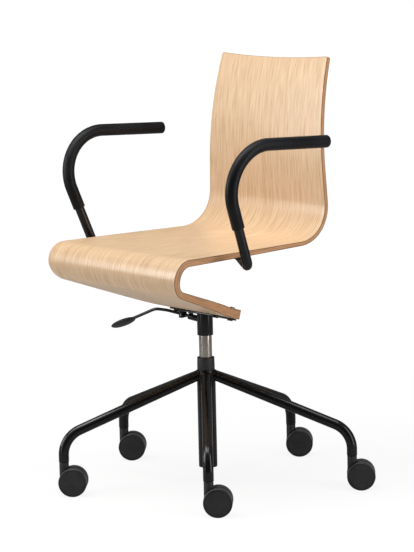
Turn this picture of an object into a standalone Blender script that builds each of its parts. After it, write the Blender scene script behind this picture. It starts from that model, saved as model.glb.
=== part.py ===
"""Swivel office chair: a bent plywood shell on a gas lift, with a five-leg tube base on twin-wheel casters.

The chair faces -Y, +X is the sitter's left and +Z is up.
All sizes are in metres and all angles in degrees.
Sizes are laid out around the column's axis, with the floor at height zero.
At the end the whole chair is moved so that its box stands centred on the world origin.
"""

import math

import bmesh
import bpy
import numpy as np
from mathutils import Matrix, Vector

# Clearances
seat_gap = 0.0003
cut_margin = 0.002

# Shell side profile, from the top of the backrest to the end of the tail
shell_top_y = 0.2033
shell_top_z = 0.9185
back_lean = 16.5
back_radius = 0.77
back_turn = 18.0
back_straight = 0.068
seat_bend_radius = 0.075
seat_fall = 1.2
seat_length = 0.3065
nose_radius = 0.042
tail_fall = 19.9
tail_slope_length = 0.170
tail_end_radius = 0.40
tail_end_fall = 15.6
tail_end_length = 0.0615

# Shell thickness and half width
back_thickness = 0.009
seat_front_thickness = 0.0145
tail_thickness = 0.0205
top_half_width = 0.182
bend_half_width = 0.2015
seat_front_half_width = 0.2295
nose_half_width = 0.2305
tail_front_half_width = 0.2045
tail_middle_half_width = 0.176
tail_end_half_width = 0.087
top_edge_sag = 0.0058
shell_corner_radius = 0.005

# Mounting plate under the tail
plate_half_width = 0.082
plate_front = 0.037
plate_rear = 0.027
plate_thickness = 0.0035
plate_hole_radius = 0.009
plate_corner_radius = 0.006
bolt_half_spacing = 0.070
bolt_front = 0.024
bolt_rear = 0.016
bolt_radius = 0.003
bolt_head_radius = 0.006
bolt_head_height = 0.0033
weld_nut_radius = 0.0065
weld_nut_height = 0.0025

# Gas lift and column
column_radius = 0.0201
column_wall = 0.0019
column_bottom = 0.0350
column_floor = 0.003
column_chamfer = 0.002
collar_radius = 0.0190
collar_height = 0.0280
collar_recess = 0.0022
bush_length = 0.070
lift_radius = 0.0140
lift_bottom = 0.101
lift_top = 0.3470
lift_taper_radius = 0.0130
lift_wall = 0.0022
lift_base_thickness = 0.008
lift_head_thickness = 0.017
rod_radius = 0.0050
piston_radius = 0.0112
piston_thickness = 0.012
piston_top = 0.200
rod_flange_radius = 0.0090
rod_flange_thickness = 0.002
bearing_radius = 0.0125
bearing_thickness = 0.0040
clip_thickness = 0.0012
clip_radius = 0.0085
button_radius = 0.0040
button_proud = 0.0055
button_length = 0.0160
button_travel = 0.0024
socket_radius = 0.0172
socket_bottom = 0.3240
socket_chamfer = 0.001
socket_blank_length = 0.075

# Height lever
lever_heading = 195.0
lever_radius = 0.0030
lever_pivot_reach = 0.0605
lever_rise_reach = 0.105
lever_rise_height = 0.3703
lever_crest_reach = 0.137
lever_crest_height = 0.3708
lever_grip_reach = 0.193
lever_grip_height = 0.3478
lever_bend_radius = 0.010
lever_pin_radius = 0.0015
guide_radius = 0.0066
guide_bore_radius = 0.0046
guide_end = 0.043
guide_drop = 0.0009
bracket_half_width = 0.0085
bracket_slot_half_width = 0.0037
bracket_half_length = 0.0045
bracket_web = 0.0022
bracket_bottom = 0.3575
paddle_length = 0.068
paddle_width = 0.032
paddle_thickness = 0.0105
paddle_overlap = 0.012

# Five-leg base
leg_count = 5
base_turn = -37.0
leg_radius = 0.0110
leg_wall = 0.0020
leg_reach = 0.3230
leg_drop_angle = 20.0
leg_bend_radius = 0.055
leg_end_height = 0.0730
leg_stub_length = 0.0142
leg_bend_turn = 90.0 - leg_drop_angle
leg_bend_tangent = leg_bend_radius * math.tan(math.radians(leg_bend_turn) / 2.0)
leg_fall = leg_reach * math.tan(math.radians(leg_drop_angle))
leg_axis_height = leg_end_height + leg_stub_length + leg_bend_tangent + leg_fall
column_top_above_leg_axis = 0.0044
column_top = leg_axis_height + column_top_above_leg_axis

# Casters
caster_trail = 0.0190
caster_heading = 50.0
caster_neck_radius = 0.01025
caster_neck_bottom = 0.0290
caster_swivel_gap = 0.0006
stem_plug_length = 0.0160
stem_pin_radius = 0.0045
stem_pin_length = 0.030
wheel_radius = 0.0308
wheel_width = 0.0180
wheel_dish = 0.0007
wheel_tyre_width = 0.0030
wheel_shoulder = 0.0014
wheel_end_wall = 0.0030
wheel_clearance = 0.0008
wheel_segments = 20
web_half_width = 0.0055
web_radius = 0.0292
axle_radius = 0.0030
running_gap = 0.0004

# Armrests
arm_half_spacing = 0.2889
arm_tube_radius = 0.0103
arm_tube_wall = 0.0020
arm_end_y = 0.1101
arm_end_z = 0.7507
arm_rise = 1.7
arm_toe = 2.5
arm_splay = 4.8
arm_top_length = 0.1610
arm_bend_radius = 0.092
arm_leg_lean = 20.1
arm_leg_length = 0.121
arm_foot_radius = 0.0140
arm_foot_turn = 92.0
sleeve_radius = 0.01325
sleeve_leg_length = 0.046
end_cap_proud = 0.0030
end_cap_radius = 0.0086
end_cap_plug_length = 0.012
arm_foot_thickness = 0.0038
arm_foot_half_width = 0.0110
arm_foot_yaw = 24.0
arm_foot_knee = 0.046
arm_foot_reach = 0.110
arm_foot_weld_drop = 0.001
arm_screw_inset = 0.012
arm_screw_spacing = 0.034
arm_screw_radius = 0.0025
arm_screw_head_radius = 0.0045
arm_screw_head_height = 0.0025
arm_screw_depth = 0.0085
weld_face_depth = 0.1
weld_face_half_width = 0.05

# Mesh fineness
arc_step = 18.0
fine_arc_step = 10.0
turned_segments = 24
small_segments = 16
tube_bevel_resolution = 4
shell_columns = 4

# Colours of the real surfaces: red, green, blue, then roughness and metallic
finishes = {
    "oak_ply": ((0.72, 0.50, 0.29), 0.45, 0.0),
    "black_paint": ((0.012, 0.011, 0.012), 0.22, 0.0),
    "black_plastic": ((0.020, 0.020, 0.022), 0.50, 0.0),
    "black_sleeve": ((0.022, 0.022, 0.025), 0.60, 0.0),
    "bright_steel": ((0.56, 0.53, 0.50), 0.22, 1.0),
    "zinc_steel": ((0.42, 0.42, 0.43), 0.40, 1.0),
}


# Scene set-up


def clear_scene():
    """Removes every object so that the chair is built in an empty scene."""
    for obj in list(bpy.data.objects):
        bpy.data.objects.remove(obj, do_unlink=True)


def new_collection(name):
    """Adds a collection under the scene's own."""
    made = bpy.data.collections.new(name)
    bpy.context.scene.collection.children.link(made)
    return made


def make_material(name):
    """Makes the plain surface of one finish."""
    colour, roughness, metallic = finishes[name]
    material = bpy.data.materials.new(name)
    material.use_nodes = True
    shader = material.node_tree.nodes["Principled BSDF"]
    shader.inputs["Base Color"].default_value = (*colour, 1.0)
    shader.inputs["Roughness"].default_value = roughness
    shader.inputs["Metallic"].default_value = metallic
    return material


clear_scene()
chair_parts = new_collection("office_chair")
chair_cutters = new_collection("office_chair_cutters")
materials = {}
for finish_name in finishes:
    materials[finish_name] = make_material(finish_name)


def add_frame(name, location, rotation, parent):
    """Adds an empty that carries pieces in its own frame."""
    frame = bpy.data.objects.new(name, None)
    frame.empty_display_size = 0.02
    frame.location = location
    frame.rotation_euler = rotation
    frame.parent = parent
    chair_parts.objects.link(frame)
    return frame


def settle(obj, name, finish, parent):
    """Names a new piece, gives it its finish and hangs it in its frame."""
    obj.name = name
    obj.data.name = name
    obj.data.materials.clear()
    obj.data.materials.append(materials[finish])
    for home in list(obj.users_collection):
        home.objects.unlink(obj)
    chair_parts.objects.link(obj)
    obj.parent = parent
    return obj


def as_cutter(obj):
    """Moves a piece among the cutters, where it shapes others and isn't built itself."""
    for home in list(obj.users_collection):
        home.objects.unlink(obj)
    chair_cutters.objects.link(obj)
    obj.hide_render = True
    obj.display_type = "WIRE"
    return obj


def combine(target, tool, operation):
    """Cuts the tool out of the target, or joins it on, with a Boolean modifier."""
    step = target.modifiers.new(operation.lower() + "_" + tool.name, "BOOLEAN")
    step.operation = operation
    step.solver = "EXACT"
    step.object = as_cutter(tool)
    return target


def shade_round(obj):
    """Shades a piece smooth and keeps its real corners sharp."""
    obj.data.shade_smooth()
    obj.data.set_sharp_from_angle(angle=math.radians(35.0))
    return obj


# Shapes


def make_block(name, low, high, finish="black_paint", parent=None):
    """Makes a box between two opposite corners."""
    mesh = bpy.data.meshes.new(name)
    shape = bmesh.new()
    bmesh.ops.create_cube(shape, size=1.0)
    low, high = Vector(low), Vector(high)
    for vertex in shape.verts:
        for axis in range(3):
            centre = (low[axis] + high[axis]) / 2.0
            vertex.co[axis] = centre + vertex.co[axis] * (high[axis] - low[axis])
    shape.to_mesh(mesh)
    shape.free()
    return settle(bpy.data.objects.new(name, mesh), name, finish, parent)


def make_rod(name, radius, start, end, segments=small_segments, finish="black_paint", parent=None):
    """Makes a round bar between two points."""
    start, end = Vector(start), Vector(end)
    mesh = bpy.data.meshes.new(name)
    shape = bmesh.new()
    bmesh.ops.create_cone(
        shape,
        cap_ends=True,
        segments=segments,
        radius1=radius,
        radius2=radius,
        depth=(end - start).length,
    )
    turn = (end - start).to_track_quat("Z", "Y").to_matrix().to_4x4()
    shape.transform(Matrix.Translation((start + end) / 2.0) @ turn)
    shape.to_mesh(mesh)
    shape.free()
    return settle(bpy.data.objects.new(name, mesh), name, finish, parent)


def make_turned(name, profile, finish, parent, segments=turned_segments, closed=False):
    """Makes a turned piece from radius and height pairs that run down its outer side."""
    mesh = bpy.data.meshes.new(name)
    points = [(radius, 0.0, height) for radius, height in profile]
    edges = [(i, i + 1) for i in range(len(points) - 1)]
    if closed:
        edges.append((len(points) - 1, 0))
    mesh.from_pydata(points, edges, [])
    obj = settle(bpy.data.objects.new(name, mesh), name, finish, parent)
    turn = obj.modifiers.new("turn", "SCREW")
    turn.axis = "Z"
    turn.steps = segments
    turn.render_steps = segments
    turn.use_merge_vertices = True
    turn.merge_threshold = 0.00001
    turn.use_smooth_shade = True
    return obj


def make_tube(name, path, radius, finish, parent, wall=0.0):
    """Makes a bar along a path, or a tube with open ends where it has a wall."""
    curve = bpy.data.curves.new(name, "CURVE")
    curve.dimensions = "3D"
    spline = curve.splines.new("POLY")
    spline.points.add(len(path) - 1)
    for point, place in zip(spline.points, path):
        point.co = (*place, 1.0)
    curve.bevel_depth = radius
    curve.bevel_resolution = tube_bevel_resolution
    curve.use_fill_caps = wall == 0.0
    obj = bpy.data.objects.new(name, curve)
    chair_parts.objects.link(obj)
    if wall > 0.0:
        skin = obj.modifiers.new("wall", "SOLIDIFY")
        skin.thickness = wall
        skin.offset = -1.0
        skin.use_even_offset = True
    return curve_to_mesh(obj, name, finish, parent)


def curve_to_mesh(curve_object, name, finish, parent):
    """Turns a curve and its modifiers into a closed mesh, with its caps welded on."""
    graph = bpy.context.evaluated_depsgraph_get()
    mesh = bpy.data.meshes.new_from_object(curve_object.evaluated_get(graph))
    shape = bmesh.new()
    shape.from_mesh(mesh)
    bmesh.ops.remove_doubles(shape, verts=shape.verts, dist=0.00001)
    bmesh.ops.recalc_face_normals(shape, faces=shape.faces)
    shape.to_mesh(mesh)
    shape.free()
    bpy.data.objects.remove(curve_object, do_unlink=True)
    return shade_round(settle(bpy.data.objects.new(name, mesh), name, finish, parent))


def clear_bore(radius, wall):
    """Returns the largest radius that fits inside a tube, whose section has flat sides."""
    sides = 2 * (tube_bevel_resolution + 2)
    return radius * math.cos(math.pi / sides) - wall


def trace(start, direction, moves):
    """Follows straight runs and round bends, and returns the points passed.

    A move is a length, or a radius, an angle and the direction that the bend turns towards.
    """
    place, heading = Vector(start), Vector(direction).normalized()
    points = [place.copy()]
    for move in moves:
        if isinstance(move, float):
            place = place + heading * move
            points.append(place.copy())
            continue
        radius, angle, towards = move
        side = Vector(towards)
        side = (side - heading * side.dot(heading)).normalized()
        centre = place + side * radius
        steps = max(2, math.ceil(angle / arc_step))
        for i in range(1, steps + 1):
            turned = math.radians(angle) * i / steps
            points.append(centre - side * radius * math.cos(turned) + heading * radius * math.sin(turned))
        turned = math.radians(angle)
        place = points[-1]
        heading = heading * math.cos(turned) + side * math.sin(turned)
    return points


def smooth_through(stations, values, at):
    """Reads a smooth curve through given values, at one station."""
    slopes = np.gradient(values, stations)
    i = int(np.clip(np.searchsorted(stations, at) - 1, 0, len(stations) - 2))
    span = stations[i + 1] - stations[i]
    t = min(max((at - stations[i]) / span, 0.0), 1.0)
    rise = values[i] * (1 + 2 * t) * (1 - t) ** 2 + values[i + 1] * t * t * (3 - 2 * t)
    lean = slopes[i] * t * (1 - t) ** 2 + slopes[i + 1] * t * t * (t - 1)
    return float(rise + lean * span)


# Shell


class ShellProfile:
    """The outer side line of the shell: straight runs and arcs, read by distance from the top."""

    def __init__(self):
        down = 270.0 - back_lean
        seat_heading = 180.0 + seat_fall
        upright = down + back_turn
        self.moves = [
            (back_radius * math.radians(back_turn), 1.0 / back_radius),
            (back_straight, 0.0),
            (seat_bend_radius * math.radians(upright - seat_heading), -1.0 / seat_bend_radius),
            (seat_length, 0.0),
            (nose_radius * math.radians(360.0 - tail_fall - seat_heading), 1.0 / nose_radius),
            (tail_slope_length, 0.0),
            (tail_end_radius * math.radians(tail_fall - tail_end_fall), 1.0 / tail_end_radius),
            (tail_end_length, 0.0),
        ]
        self.starts = [0.0]
        self.states = [(shell_top_y, shell_top_z, math.radians(down))]
        for length, bend in self.moves:
            self.states.append(self.advance(self.states[-1], length, bend))
            self.starts.append(self.starts[-1] + length)
        self.length = self.starts[-1]

    @staticmethod
    def advance(state, length, bend):
        """Moves along a run of the line and returns the new place and heading."""
        y, z, heading = state
        if bend == 0.0:
            return y + math.cos(heading) * length, z + math.sin(heading) * length, heading
        after = heading + bend * length
        y += (math.sin(after) - math.sin(heading)) / bend
        z -= (math.cos(after) - math.cos(heading)) / bend
        return y, z, after

    def at(self, distance):
        """Returns the place and heading at a distance from the top."""
        i = int(np.clip(np.searchsorted(self.starts, distance) - 1, 0, len(self.moves) - 1))
        return self.advance(self.states[i], distance - self.starts[i], self.moves[i][1])

    def stations(self):
        """Returns the distances at which the mesh has a row, close together in the bends."""
        rows = {0.0, shell_corner_radius * 0.3, shell_corner_radius}
        for start, (length, bend) in zip(self.starts, self.moves):
            turned = abs(math.degrees(length * bend))
            count = max(1, math.ceil(turned / fine_arc_step), round(length / 0.030))
            rows.update(start + length * i / count for i in range(count + 1))
        rows.update({self.length - shell_corner_radius, self.length - shell_corner_radius * 0.3})
        return sorted(rows)

    def distance_at(self, y, first, last):
        """Returns the distance in a stretch of the line where it passes a given depth."""
        for _ in range(60):
            middle = (first + last) / 2.0
            if (self.at(middle)[0] > y) == (self.at(first)[0] > y):
                first = middle
            else:
                last = middle
        return first

    def thickness(self, distance):
        """Returns the ply's thickness, which grows along the seat and again along the tail."""
        bend_end, seat_end, nose_end = self.starts[3], self.starts[4], self.starts[5]
        grown = self.starts[6]
        marks = [0.0, bend_end, seat_end, nose_end, grown, self.length]
        sizes = [
            back_thickness,
            back_thickness,
            seat_front_thickness,
            seat_front_thickness,
            tail_thickness,
            tail_thickness,
        ]
        return float(np.interp(distance, marks, sizes))

    def half_width(self, distance):
        """Returns half the shell's width, rounded off at its two ends."""
        nose_middle = (self.starts[4] + self.starts[5]) / 2.0
        tail_start = self.starts[5]
        marks = [
            0.0,
            self.starts[2],
            self.starts[4],
            nose_middle,
            tail_start + 0.030,
            self.starts[6] - 0.052,
            self.length,
        ]
        sizes = [
            top_half_width,
            bend_half_width,
            seat_front_half_width,
            nose_half_width,
            tail_front_half_width,
            tail_middle_half_width,
            tail_end_half_width,
        ]
        width = smooth_through(marks, sizes, distance)
        from_end = min(distance, self.length - distance)
        if from_end < shell_corner_radius:
            inset = shell_corner_radius - from_end
            width -= shell_corner_radius - math.sqrt(shell_corner_radius**2 - inset**2)
        return width


profile = ShellProfile()


def inner_face(distance):
    """Returns the place on the shell's inner side, opposite a point of its outer side."""
    y, z, heading = profile.at(distance)
    thickness = profile.thickness(distance)
    return y - math.sin(heading) * thickness, z + math.cos(heading) * thickness


def make_shell(parent):
    """Makes the bent plywood shell: an open sheet along the profile, then its thickness."""
    rows = profile.stations()
    bpy.ops.mesh.primitive_grid_add(x_subdivisions=shell_columns, y_subdivisions=len(rows) - 1, size=2.0)
    shell = settle(bpy.context.object, "seat_shell", "oak_ply", parent)
    group = shell.vertex_groups.new(name="thickness")
    greatest = max(back_thickness, seat_front_thickness, tail_thickness)
    for vertex in shell.data.vertices:
        across = vertex.co.x
        row = round((1.0 - vertex.co.y) / 2.0 * (len(rows) - 1))
        distance = rows[row]
        width = profile.half_width(distance)
        sag = top_edge_sag * (1.0 - across**2) * max(0.0, 1.0 - distance / 0.10)
        y, z, _ = profile.at(distance + sag)
        vertex.co = (width * across, y, z)
        group.add([vertex.index], profile.thickness(distance) / greatest, "REPLACE")
    skin = shell.modifiers.new("plywood", "SOLIDIFY")
    skin.thickness = greatest
    skin.offset = -1.0
    skin.vertex_group = group.name
    skin.thickness_vertex_group = 0.0
    shell.data.shade_smooth()
    return shell


# Mounting plate, socket and bolts, in the frame of the tail's end


def plate_frame(parent):
    """Adds a frame on the tail's under face, above the column, tilted with the tail's end."""
    distance = profile.distance_at(0.0, profile.starts[5], profile.length)
    _, height, _ = profile.at(distance)
    return add_frame("tail_end_frame", (0.0, 0.0, height), (math.radians(-tail_end_fall), 0.0, 0.0), parent)


def bolt_places():
    """Returns where the four bolts pass, in the plate's frame."""
    places = []
    for side in (-1.0, 1.0):
        for along in (-bolt_front, bolt_rear):
            places.append((side * bolt_half_spacing, along))
    return places


def make_plate(frame):
    """Makes the steel plate under the tail, with its four weld nuts."""
    top = -seat_gap
    bottom = top - plate_thickness
    low = (-plate_half_width, -plate_front, bottom)
    high = (plate_half_width, plate_rear, top)
    plate = make_block("mounting_plate", low, high, "black_paint", frame)
    rounding = plate.modifiers.new("corners", "BEVEL")
    rounding.affect = "EDGES"
    rounding.limit_method = "WEIGHT"
    rounding.width = plate_corner_radius
    rounding.segments = 3
    weights = plate.data.attributes.new("bevel_weight_edge", "FLOAT", "EDGE")
    for edge in plate.data.edges:
        ends = [plate.data.vertices[i].co for i in edge.vertices]
        upright = abs(ends[0].z - ends[1].z) > plate_thickness / 2.0
        weights.data[edge.index].value = 1.0 if upright else 0.0
    for number, (x, y) in enumerate(bolt_places(), start=1):
        nut_start = (x, y, bottom + plate_thickness / 2.0)
        nut_end = (x, y, bottom - weld_nut_height)
        nut = make_rod(f"weld_nut_{number}", weld_nut_radius, nut_start, nut_end, 6, parent=frame)
        combine(plate, nut, "UNION")
    for number, (x, y) in enumerate(bolt_places(), start=1):
        hole_end = (x, y, bottom - weld_nut_height - cut_margin)
        hole = make_rod(
            f"plate_hole_{number}", bolt_radius + seat_gap, (x, y, cut_margin), hole_end, parent=frame
        )
        combine(plate, hole, "DIFFERENCE")
    middle_end = (0.0, 0.0, bottom - cut_margin)
    middle = make_rod("plate_middle_hole", plate_hole_radius, (0.0, 0.0, cut_margin), middle_end, parent=frame)
    return combine(plate, middle, "DIFFERENCE")


def make_bolts(frame, shell):
    """Makes the bolts through the tail into the plate, and their holes in the shell."""
    head_under = tail_thickness + seat_gap
    tip = -seat_gap - plate_thickness - weld_nut_height + 0.001
    for number, (x, y) in enumerate(bolt_places(), start=1):
        head_top = head_under + bolt_head_height
        outline = [
            (0.0, head_top),
            (bolt_head_radius * 0.6, head_top),
            (bolt_head_radius * 0.9, head_top - bolt_head_height * 0.35),
            (bolt_head_radius, head_under + bolt_head_height * 0.2),
            (bolt_head_radius, head_under),
            (bolt_radius, head_under),
            (bolt_radius, tip),
            (0.0, tip),
        ]
        bolt = make_turned(f"tail_bolt_{number}", outline, "zinc_steel", frame, small_segments)
        bolt.location = (x, y, 0.0)
        hole = make_rod(
            f"tail_hole_{number}",
            bolt_radius + seat_gap,
            (x, y, -cut_margin),
            (x, y, tail_thickness + cut_margin),
            parent=frame,
        )
        combine(shell, hole, "DIFFERENCE")


def plate_clearance(name, frame):
    """Makes a cutter that fills everything above the plate's under face."""
    reach = 0.2
    under = -seat_gap - plate_thickness - seat_gap
    return make_block(name, (-reach, -reach, under), (reach, reach, reach), parent=frame)


def lever_direction():
    """Returns the level direction in which the lever points."""
    angle = math.radians(lever_heading)
    return Vector((math.cos(angle), math.sin(angle), 0.0))


def lever_line_height(reach):
    """Returns the height of the lever rod's straight inner run, at a distance from the lift's axis."""
    bottom = lift_top + button_proud + seat_gap + lever_radius
    return bottom + (lever_rise_height - bottom) * reach / lever_rise_reach


def along_lever(reach, drop=0.0):
    """Returns a point on the lever rod's inner run, or a little below it."""
    place = lever_direction() * reach
    place.z = lever_line_height(reach) - drop
    return place


def make_socket(frame, tail):
    """Makes the tapered socket tube that hangs from the plate, with the lever's guide on its side."""
    outside = socket_radius
    bore_low = lift_radius + seat_gap
    bore_high = lift_taper_radius + seat_gap
    above = socket_bottom + socket_blank_length
    outline = [
        (outside, above),
        (outside, socket_bottom + socket_chamfer),
        (outside - socket_chamfer, socket_bottom),
        (bore_low, socket_bottom),
        (bore_high, lift_top),
        (bore_high, above),
    ]
    socket = make_turned("socket_tube", outline, "black_paint", frame, closed=True)
    combine(socket, plate_clearance("socket_top_cut", tail), "DIFFERENCE")
    start = along_lever((socket_radius + bore_high) / 2.0, guide_drop)
    guide = make_rod("lever_guide", guide_radius, start, along_lever(guide_end, guide_drop), parent=frame)
    combine(socket, guide, "UNION")
    bore = make_rod(
        "lever_guide_bore",
        guide_bore_radius,
        along_lever(0.0, guide_drop),
        along_lever(guide_end + cut_margin, guide_drop),
        parent=frame,
    )
    return combine(socket, bore, "DIFFERENCE")


# Gas lift


def make_lift_tube(parent):
    """Makes the lift's pressure tube, hollow from below, with the valve bore in its top."""
    inside = lift_radius - lift_wall
    valve_floor = lift_top - button_length + button_proud - button_travel - seat_gap
    outline = [
        (0.0, valve_floor),
        (button_radius + seat_gap, valve_floor),
        (button_radius + seat_gap, lift_top),
        (lift_taper_radius - 0.001, lift_top),
        (lift_taper_radius, lift_top - 0.001),
        (lift_radius, socket_bottom + 0.001),
        (lift_radius, lift_bottom + 0.001),
        (lift_radius - 0.001, lift_bottom),
        (rod_radius + seat_gap, lift_bottom),
        (rod_radius + seat_gap, lift_bottom + lift_base_thickness),
        (inside, lift_bottom + lift_base_thickness),
        (inside, lift_top - lift_head_thickness),
        (0.0, lift_top - lift_head_thickness),
    ]
    return make_turned("lift_tube", outline, "bright_steel", parent)


def make_lift_rod(parent):
    """Makes the piston rod, which stands on the thrust bearing and ends below the column."""
    flange_low = column_bottom + column_floor + seat_gap + bearing_thickness + seat_gap
    end = column_bottom - seat_gap - clip_thickness - 0.0015
    outline = [
        (0.0, piston_top),
        (piston_radius, piston_top),
        (piston_radius, piston_top - piston_thickness),
        (rod_radius, piston_top - piston_thickness),
        (rod_radius, flange_low + rod_flange_thickness),
        (rod_flange_radius, flange_low + rod_flange_thickness),
        (rod_flange_radius, flange_low),
        (rod_radius, flange_low),
        (rod_radius, end + 0.0008),
        (rod_radius - 0.0008, end),
        (0.0, end),
    ]
    return make_turned("lift_rod", outline, "bright_steel", parent, small_segments)


def make_ring(name, inner, outer, bottom, top, finish, parent, segments=small_segments):
    """Makes a flat ring."""
    outline = [(outer, top), (outer, bottom), (inner, bottom), (inner, top)]
    return make_turned(name, outline, finish, parent, segments, closed=True)


def make_lift_fittings(base, spindle, seat):
    """Makes the thrust bearing, the clip under the column and the release button."""
    bore = rod_radius + seat_gap
    bearing_low = column_bottom + column_floor + seat_gap
    bearing_high = bearing_low + bearing_thickness
    make_ring("thrust_bearing", bore, bearing_radius, bearing_low, bearing_high, "zinc_steel", base)
    clip_high = column_bottom - seat_gap
    clip_low = clip_high - clip_thickness
    make_ring("retaining_clip", bore, clip_radius, clip_low, clip_high, "zinc_steel", spindle)
    button_top = lift_top + button_proud
    outline = [
        (0.0, button_top),
        (button_radius - 0.0008, button_top),
        (button_radius, button_top - 0.0008),
        (button_radius, button_top - button_length),
        (0.0, button_top - button_length),
    ]
    make_turned("release_button", outline, "zinc_steel", seat, small_segments)


# Base


def make_column(base):
    """Makes the column tube, with its floor, and the guide bush with the collar on top."""
    inside = column_radius - column_wall
    outline = [
        (column_radius, column_top),
        (column_radius, column_bottom + column_chamfer),
        (column_radius - column_chamfer, column_bottom),
        (rod_radius + seat_gap, column_bottom),
        (rod_radius + seat_gap, column_bottom + column_floor),
        (inside, column_bottom + column_floor),
        (inside, column_top),
    ]
    make_turned("column_tube", outline, "black_paint", base, closed=True)
    low = column_top + seat_gap
    high = low + collar_height
    bore = lift_radius + seat_gap
    sleeve = inside - seat_gap
    outline = [
        (collar_radius - 0.0008, high),
        (collar_radius, high - 0.0008),
        (collar_radius, low),
        (sleeve, low),
        (sleeve, column_top - bush_length),
        (bore, column_top - bush_length),
        (bore, high - collar_recess),
        (bore + 0.0016, high - collar_recess),
        (bore + 0.0028, high),
    ]
    make_turned("column_bush", outline, "black_plastic", base, closed=True)


def leg_path():
    """Returns one leg's centre line, from inside the column out and down to its caster."""
    slope = math.radians(leg_drop_angle)
    start_reach = column_radius * 0.4
    start_height = leg_axis_height - start_reach * math.tan(slope)
    run = (leg_reach - start_reach) / math.cos(slope) - leg_bend_tangent
    return trace(
        (start_reach, 0.0, start_height),
        (math.cos(slope), 0.0, -math.sin(slope)),
        [run, (leg_bend_radius, leg_bend_turn, (0.0, 0.0, -1.0)), leg_stub_length],
    )


def make_leg(number, base):
    """Makes one leg of the base and returns the frame at its outer end."""
    angle = base_turn + (number - 1) * 360.0 / leg_count
    frame = add_frame(f"leg_frame_{number}", (0.0, 0.0, 0.0), (0.0, 0.0, math.radians(angle)), base)
    leg = make_tube(f"leg_{number}", leg_path(), leg_radius, "black_paint", frame, leg_wall)
    top = leg_axis_height + 2.0 * leg_radius
    saddle = make_rod(
        f"leg_saddle_{number}",
        column_radius + seat_gap,
        (0.0, 0.0, leg_axis_height - 4.0 * leg_radius),
        (0.0, 0.0, top),
        turned_segments,
        parent=frame,
    )
    combine(leg, saddle, "DIFFERENCE")
    return add_frame(f"stem_frame_{number}", (leg_reach, 0.0, 0.0), (0.0, 0.0, 0.0), frame)


# Casters


def make_stem(number, stem_frame):
    """Makes the caster's stem: a plug in the leg and a pin in the caster's neck."""
    plug = clear_bore(leg_radius, leg_wall) - seat_gap
    top = leg_end_height + stem_plug_length
    end = leg_end_height - stem_pin_length
    outline = [
        (0.0, top),
        (plug - 0.001, top),
        (plug, top - 0.001),
        (plug, leg_end_height),
        (stem_pin_radius, leg_end_height),
        (stem_pin_radius, end),
        (0.0, end),
    ]
    make_turned(f"caster_{number}_stem", outline, "zinc_steel", stem_frame, small_segments)


def make_caster_body(number, caster):
    """Makes the caster's neck and the web between its two wheels."""
    neck_top = leg_end_height - caster_swivel_gap
    neck_start = (0.0, 0.0, caster_neck_bottom)
    body = make_rod(
        f"caster_{number}_body",
        caster_neck_radius,
        neck_start,
        (0.0, 0.0, neck_top),
        turned_segments,
        "black_plastic",
        caster,
    )
    hub = Vector((caster_trail, 0.0, wheel_radius))
    across = Vector((0.0, 1.0, 0.0))
    for side in (-1.0, 1.0):
        start = hub + across * side * web_half_width
        end = hub + across * side * (caster_neck_radius + cut_margin)
        well = make_rod(
            f"caster_{number}_well_{side:+.0f}",
            wheel_radius + wheel_clearance,
            start,
            end,
            turned_segments,
            parent=caster,
        )
        combine(body, well, "DIFFERENCE")
    web = make_rod(
        f"caster_{number}_web",
        web_radius,
        hub - across * (web_half_width - 0.0001),
        hub + across * (web_half_width - 0.0001),
        turned_segments,
        parent=caster,
    )
    combine(body, web, "UNION")
    wide = across * (web_half_width + cut_margin)
    axle_hole = make_rod(
        f"caster_{number}_axle_hole", axle_radius + seat_gap, hub - wide, hub + wide, parent=caster
    )
    combine(body, axle_hole, "DIFFERENCE")
    stem_floor = leg_end_height - stem_pin_length - seat_gap
    stem_hole = make_rod(
        f"caster_{number}_stem_hole",
        stem_pin_radius + seat_gap,
        (0.0, 0.0, stem_floor),
        (0.0, 0.0, neck_top + cut_margin),
        parent=caster,
    )
    combine(body, stem_hole, "DIFFERENCE")
    return body


def wheel_outline():
    """Returns half the section of a wheel, from the middle of its outer face to its axle bore."""
    bore = axle_radius + running_gap
    bore_end = wheel_width - wheel_end_wall
    tyre = wheel_radius - wheel_tyre_width
    return [
        (0.0, wheel_width - wheel_dish),
        (tyre - 0.001, wheel_width - wheel_dish),
        (tyre, wheel_width),
        (wheel_radius - wheel_shoulder, wheel_width),
        (wheel_radius, wheel_width - wheel_shoulder),
        (wheel_radius, wheel_shoulder),
        (wheel_radius - wheel_shoulder, 0.0),
        (bore, 0.0),
        (bore, bore_end),
        (0.0, bore_end),
    ]


def make_wheels(number, caster):
    """Makes the caster's axle and its two wheels, each turning about the axle."""
    inner = web_half_width + seat_gap
    axle_half_length = inner + wheel_width - wheel_end_wall - seat_gap
    hub = Vector((caster_trail, 0.0, wheel_radius))
    reach = Vector((0.0, axle_half_length, 0.0))
    make_rod(
        f"caster_{number}_axle", axle_radius, hub - reach, hub + reach, finish="zinc_steel", parent=caster
    )
    half_facet = math.pi / wheel_segments
    for label, side in (("left", 1.0), ("right", -1.0)):
        wheel = make_turned(
            f"caster_{number}_wheel_{label}",
            wheel_outline(),
            "black_plastic",
            caster,
            wheel_segments,
        )
        wheel.location = (caster_trail, side * inner, wheel_radius)
        to_side = Matrix.Rotation(math.radians(-90.0 * side), 4, "X")
        wheel.rotation_euler = (to_side @ Matrix.Rotation(half_facet, 4, "Z")).to_euler()


def make_caster(number, stem_frame, leg_angle):
    """Makes one twin-wheel caster that swivels about its stem."""
    make_stem(number, stem_frame)
    heading = math.radians(caster_heading - leg_angle)
    caster = add_frame(f"caster_frame_{number}", (0.0, 0.0, 0.0), (0.0, 0.0, heading), stem_frame)
    make_caster_body(number, caster)
    make_wheels(number, caster)


# Height lever


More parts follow.
